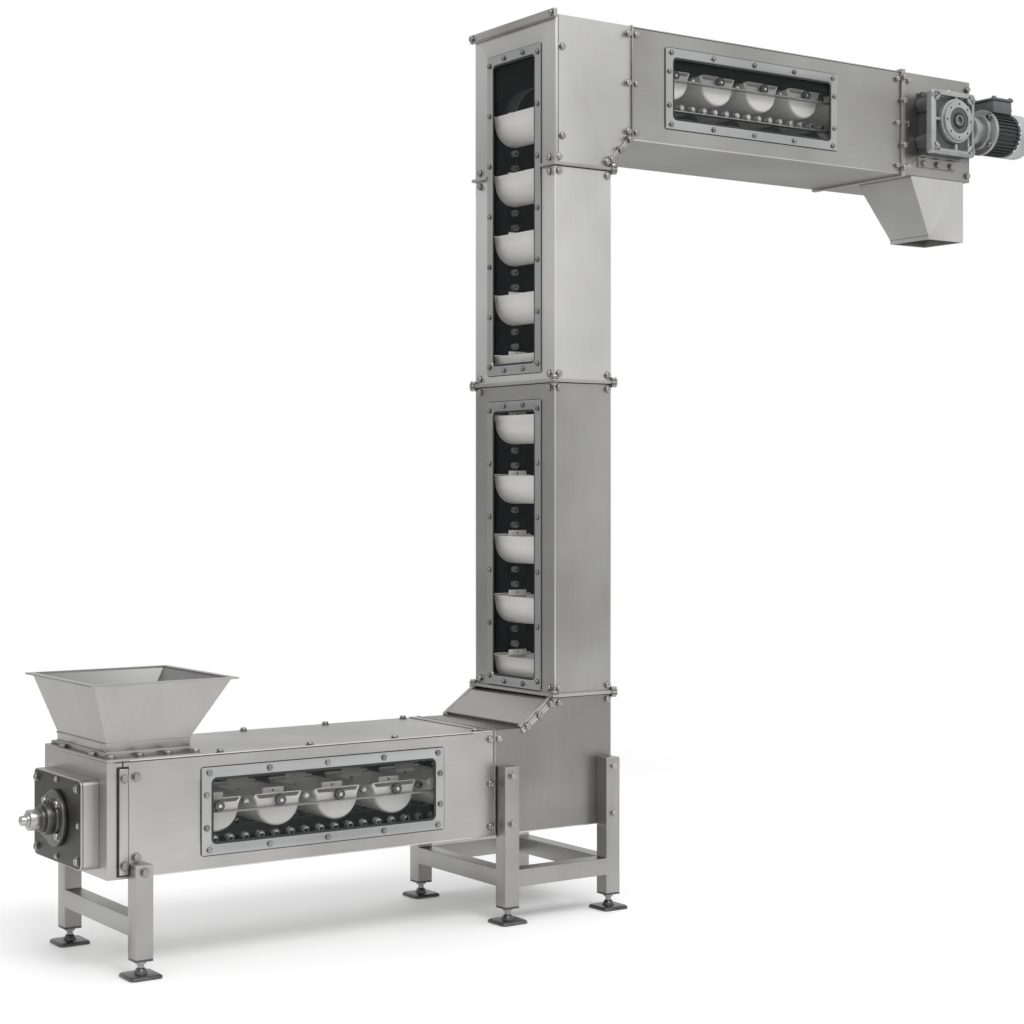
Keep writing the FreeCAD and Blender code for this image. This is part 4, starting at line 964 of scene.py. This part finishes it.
# Thin dark lines where two sheets meet.
def seamLines():
    lines = bandAround(1426, 1579.3, -188.3, -25, 1924, 1926, 0.6)
    for level in joints[:2]:
        lines += bandAround(0, seams["riserBack"], near, far, level - 7, level - 4.6, 0.6)
    for y1, y2 in sidePair(191.5, 192.7):
        lines += [slab(x1, x2, y1, y2, z1, z2) for x1, x2, z1, z2 in (
            (-194, -192.2, seams["floor"], seams["lid"]), (265, 267, seams["highFloor"], seams["top"]),
            (10, 12.4, 2019, 2414), (0, 176, 2007, 2009.4), (-1262, -264, 499.5, 501),
            (267, 1300, 2411, 2412.5))]
    assembly(lines, "seamLines", sealAndShadowBlack)


def cornerStrips():
    strips = [slab(0.4, 9.6, y1, y2, 2019, 2414, 1.2) for y1, y2 in sidePair(191, 195)]
    assembly(strips, "cornerStrips", paintedLightSheetZ)
    bolts = [(way, 24, y, z) for z in (2090, 2330) for way, y in bothSides()]
    bolts += [("-x", -12, y, seams["top"]) for y in (near, far)]
    fixings("cornerBolts", domeBolt(), bolts)


# Painted highlights: bright strips along the folded edges of the legs and the riser.
def paintedEdgeHighlights():
    trim, low, lid, floor, top = [], 230, seams["lid"], seams["highFloor"], seams["top"]
    for y1, y2 in sidePair(189.5, 192.6):
        trim += [slab(x1, x2, y1, y2, z1, z2, 1.0) for x1, x2, z1, z2 in (
            (-0.6, 2.4, 592, 2000), (186.5, 189.6, 592, 2006), (186.5, 189.6, low, 577),
            (-1224, -200, lid - 2.4, lid + 0.5), (-1224, -200, low - 2.5, low + 0.5),
            (268, 1296, top - 2.6, top + 0.5), (268, 1296, floor - 0.5, floor + 2.5),
            (-192, 186, low - 2.5, low + 0.5))]
    assembly(trim, "paintedEdgeHighlights", paintedHighlightSheet)


def legCaps():
    caps = [slab(x - 22, x + 22, y - 22, y + 22, top - 3, top + 1.5, 1.2)
            for row, top in (("tail", 262), ("main", 410)) for x in legs[row]
            for y in (-legs["out"], legs["out"])]
    assembly(caps, "legCaps", sheetY)


# Small clamps on the corners of the riser's joints.
def jointTabs():
    tabs, bolts = [], []
    for level in joints:
        for x in (-5, 194):
            if x < 0 and level > 2000:
                continue
            for y in (-197, 197):
                tabs.append(slab(x - 9, x + 9, y - 9, y + 9, level - 4.5, level + 4.5, 3, 3))
                bolts += [("+z", x, y, level + 4.5), ("-z", x, y, level - 4.5)]
    assembly(tabs, "jointTabs", sheetX)
    fixings("jointClamps", hexBolt(), bolts)


for make in (angleBars, seamStrips, hopperBands, seamLines, cornerStrips, paintedEdgeHighlights, legCaps, jointTabs):
    make()
slopeBolts = [(way, x, y, z) for way, y in bothSides(4) for x, z in (
    (-92, 508), (-54, 536), (-16, 563), (190, 2040), (221, 2070), (252, 2101))]
fixings("slopeBolts", domeBolt(), slopeBolts)
print("trim ready")

# Chains: a pair of links is modelled once and repeated along each straight run
link = {"pitch": 42.0, "plate": 9.0, "waist": 0.72, "plateThick": 2.0, "innerAt": 5.2, "outerAt": 7.0,
        "roller": 7.6, "rollerWide": 7.6, "washer": 8.9, "washerWide": 16.8, "washerThick": 0.8,
        "pinHead": 6.2, "pinLong": 18.6, "chainAt": 110.0}


# A link plate: a disc pulled out into two round ends with a pinched waist.
def linkPlate(start, y):
    clearPick()
    bpy.ops.mesh.primitive_circle_add(vertices=20, radius=mm(link["plate"]), fill_type="NGON",
                                      location=(mm(start), mm(y), 0), rotation=turnTo["y"])
    plate = settle(bpy.context.object)
    middle = mm(start)
    for vert in plate.data.vertices:
        vert.select = vert.co.x > middle + 1e-6
    bpy.ops.object.mode_set(mode="EDIT")
    bpy.ops.mesh.select_mode(type="VERT")
    bpy.ops.transform.translate(value=(mm(link["pitch"]), 0, 0))
    bpy.ops.mesh.select_all(action="SELECT")
    bpy.ops.mesh.bisect(plane_co=(mm(start + link["pitch"] / 2), 0, 0), plane_no=(1, 0, 0))
    bpy.ops.transform.resize(value=(1, 1, link["waist"]))
    leaveEdit()
    modify(plate, "SOLIDIFY", thickness=mm(link["plateThick"]), offset=0)
    return plate


def linkPair():
    parts = [linkPlate(0, side * link["outerAt"]) for side in (-1, 1)]
    parts += [linkPlate(link["pitch"], side * link["innerAt"]) for side in (-1, 1)]
    plates = join(parts, "plates")
    plates.data.materials.append(chainSteel)
    rounds, heads = [], []
    for n in (0, 1):
        for radius, wide, sides, keep in ((link["roller"], link["rollerWide"], 20, rounds),
                                          (link["washer"], link["washerWide"], 16, rounds),
                                          (link["pinHead"], link["pinLong"], 12, heads)):
            made = crossDrum(radius, wide, sides, n * link["pitch"])
            if radius == link["washer"]:
                editFaces(made, lambda centre, normal: abs(normal.y) < 0.5)
                bpy.ops.mesh.delete(type="FACE")
                leaveEdit()
                modify(made, "SOLIDIFY", thickness=mm(link["washerThick"]), offset=-1)
            elif radius == link["pinHead"]:
                softenEdges(made, mm(1.2), 2, 40)
            made.data.materials.append(pinSteel if keep is heads else chainSteel)
            keep.append(made)
    return join([plates] + rounds + heads, "linkPair")


def chainRun(name, node, body, count, x, z, upright=False, stops=()):
    pair = linkPair()
    modify(pair, "ARRAY", count=count, use_relative_offset=False, use_constant_offset=True,
           constant_offset_displace=(mm(2 * link["pitch"]), 0, 0))
    turn = Matrix.Rotation(math.radians(-90), 4, "Y") if upright else Matrix.Identity(4)
    both = [Matrix.Translation(spot(x, side * link["chainAt"], z)) @ turn for side in (-1, 1)]
    run = copies(pair, both, name)
    whole = join([run, rollerSet(stops)] if stops else [run], name)
    bpy.ops.object.shade_smooth_by_angle(angle=math.radians(35))
    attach(whole, body)
    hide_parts(node)
    return whole


roller = {"radius": 13.0, "wide": 15.0, "at": 137.0, "pin": 5.0, "from": 93.0, "to": 145.5,
          "rim": 3.2, "groove": 1.2}


# Each bucket hangs on a pin with a grooved roller at its outer end.
def rollerSet(stops):
    wheel = crossDrum(roller["radius"], roller["wide"], 28, 0, roller["at"], 0, 1.6)
    editFaces(wheel, lambda centre, normal: normal.y > 0.9)
    bpy.ops.mesh.inset(thickness=mm(roller["rim"]))
    bpy.ops.transform.translate(value=(0, -mm(roller["groove"]), 0))
    leaveEdit()
    wheel.data.materials.append(wheelNylon)
    middle = (roller["from"] + roller["to"]) / 2
    pin = crossDrum(roller["pin"], roller["to"] - roller["from"], 16, 0, middle, 0, 1.0)
    pin.data.materials.append(pinSteel)
    half = join([wheel, pin], "rollerHalf")
    turned = Matrix.Rotation(math.radians(180), 4, "Z")
    places = []
    for x, z in stops:
        places += [Matrix.Translation(spot(x, 0, z)), Matrix.Translation(spot(x, 0, z)) @ turned]
    return copies(half, places, "rollers")


# Where the strands run: the middle line of each and the first bucket's place on it.
strand = {"step": 168, "lowX": -1135, "lowZ": 368, "lowBackZ": 284, "riserX": 78, "riserBackX": 162,
          "riserZ": 492, "highX": 291, "highZ": 2312, "highBackZ": 2228}
lowStops = [(strand["lowX"] + strand["step"] * n, strand["lowZ"]) for n in range(7)]
riserStops = [(strand["riserX"], strand["riserZ"] + strand["step"] * n) for n in range(11)]
highStops = [(strand["highX"] + strand["step"] * n, strand["highZ"]) for n in range(7)]
for name, count, x, z, stops in (("Lower", 13, "lowX", "lowZ", lowStops),
                                 ("Riser", 20, "riserX", "riserZ", riserStops),
                                 ("Upper", 13, "highX", "highZ", highStops)):
    chainRun("carryChain" + name, "carry_chain_" + name.lower(), name.lower() + "_strand", count,
             strand[x], strand[z], name == "Riser", stops)
for name, count, x, z in (("Lower", 13, "lowX", "lowBackZ"), ("Riser", 19, "riserBackX", "riserZ"),
                          ("Upper", 13, "highX", "highBackZ")):
    chainRun("returnChain" + name, "return_chain_" + name.lower(), name.lower() + "_return", count,
             strand[x], strand[z], name == "Riser")
print("chains ready")

# Buckets: one is shaped and copied to every place
bucketShape = {"radius": 60.0, "drop": 6.0, "rim": 12.0, "band": 2.0, "flare": 66.3, "lip": 68.0,
               "inside": 0.955, "floor": 1.2, "endWall": 3.0, "tubHalf": 98.0, "cheekFrom": 122.2,
               "cheekTo": 125.0, "endRound": 7.0, "tabHalf": 30.0, "tabFrom": 2.0, "tabTop": 27.0,
               "tabThick": 3.0, "hole": 3.5, "holeHigh": 19.0}


def roundTrough(y, wide):
    shape = bucketShape
    trough = crossDrum(shape["radius"], wide, 56, 0, y, -shape["drop"])
    editAll(trough)
    bpy.ops.mesh.bisect(plane_co=(0, 0, -mm(shape["drop"])), plane_no=(0, 0, 1), clear_outer=True,
                        use_fill=True)
    risen = mm(shape["drop"] + shape["rim"]) - mm(shape["band"])
    bpy.ops.mesh.extrude_region_move(TRANSFORM_OT_translate={"value": (0, 0, risen)})
    bpy.ops.transform.resize(value=(shape["flare"] / shape["radius"], 1, 1))
    bpy.ops.mesh.extrude_region_move(TRANSFORM_OT_translate={"value": (0, 0, mm(shape["band"]))})
    bpy.ops.transform.resize(value=(shape["lip"] / shape["flare"], 1, 1))
    leaveEdit()
    return trough


# Riding buckets have closed ends over the chain; the two that turn keep the open chain slot.
def oneBucket(turning):
    shape = bucketShape
    half = shape["tubHalf"] if turning else shape["cheekTo"]
    tub = roundTrough(0, 2 * half)
    if not turning:
        editFaces(tub, lambda centre, normal: abs(normal.y) > 0.9)
        bpy.ops.mesh.bevel(offset=mm(shape["endRound"]), segments=4, affect="EDGES")
        leaveEdit()
    room = roundTrough(0, 2 * (shape["tubHalf"] - shape["endWall"]))
    room.scale = (shape["inside"], 1, shape["inside"])
    room.location = (0, 0, mm(shape["floor"]))
    carve(tub, settle(room))
    softenEdges(tub, mm(0.9), 2, 40)
    parts = [tub]
    middle = (shape["cheekFrom"] + shape["cheekTo"]) / 2
    for side in (-1, 1):
        if turning:
            cheek = roundTrough(side * middle, shape["cheekTo"] - shape["cheekFrom"])
            parts.append(softenEdges(cheek, mm(2.3), 3, 50))
        tab = plainBlock(2 * shape["tabHalf"], shape["tabThick"], shape["tabTop"] - shape["tabFrom"],
                         side * (shape["tubHalf"] - shape["tabThick"] / 2),
                         (shape["tabTop"] + shape["tabFrom"]) / 2)
        carve(tab, crossDrum(shape["hole"], 12, 20, 0, side * shape["tubHalf"], shape["holeHigh"]))
        parts.append(softenEdges(tab, mm(0.8), 2))
    bucket = join(parts, "bucket")
    bucket.data.materials.clear()
    bucket.data.materials.append(bucketShell)
    return bucket


def bucketSet(name, node, body, stops):
    template = oneBucket(len(stops) == 1)
    whole = copies(template, [Matrix.Translation(spot(x, 0, z)) for x, z in stops], name)
    return piece(whole, name, bucketShell, body, [node], 40)


bucketSet("loadingBucket", "loading_bucket", "loading", lowStops[:1])
bucketSet("bucketsLower", "buckets_lower", "lower_strand", lowStops[1:])
bucketSet("bucketsRiser", "buckets_riser", "riser_strand", riserStops)
bucketSet("bucketsUpper", "buckets_upper", "upper_strand", highStops[:-1])
bucketSet("dischargeBucket", "discharge_bucket", "discharge", highStops[-1:])
print("buckets ready")
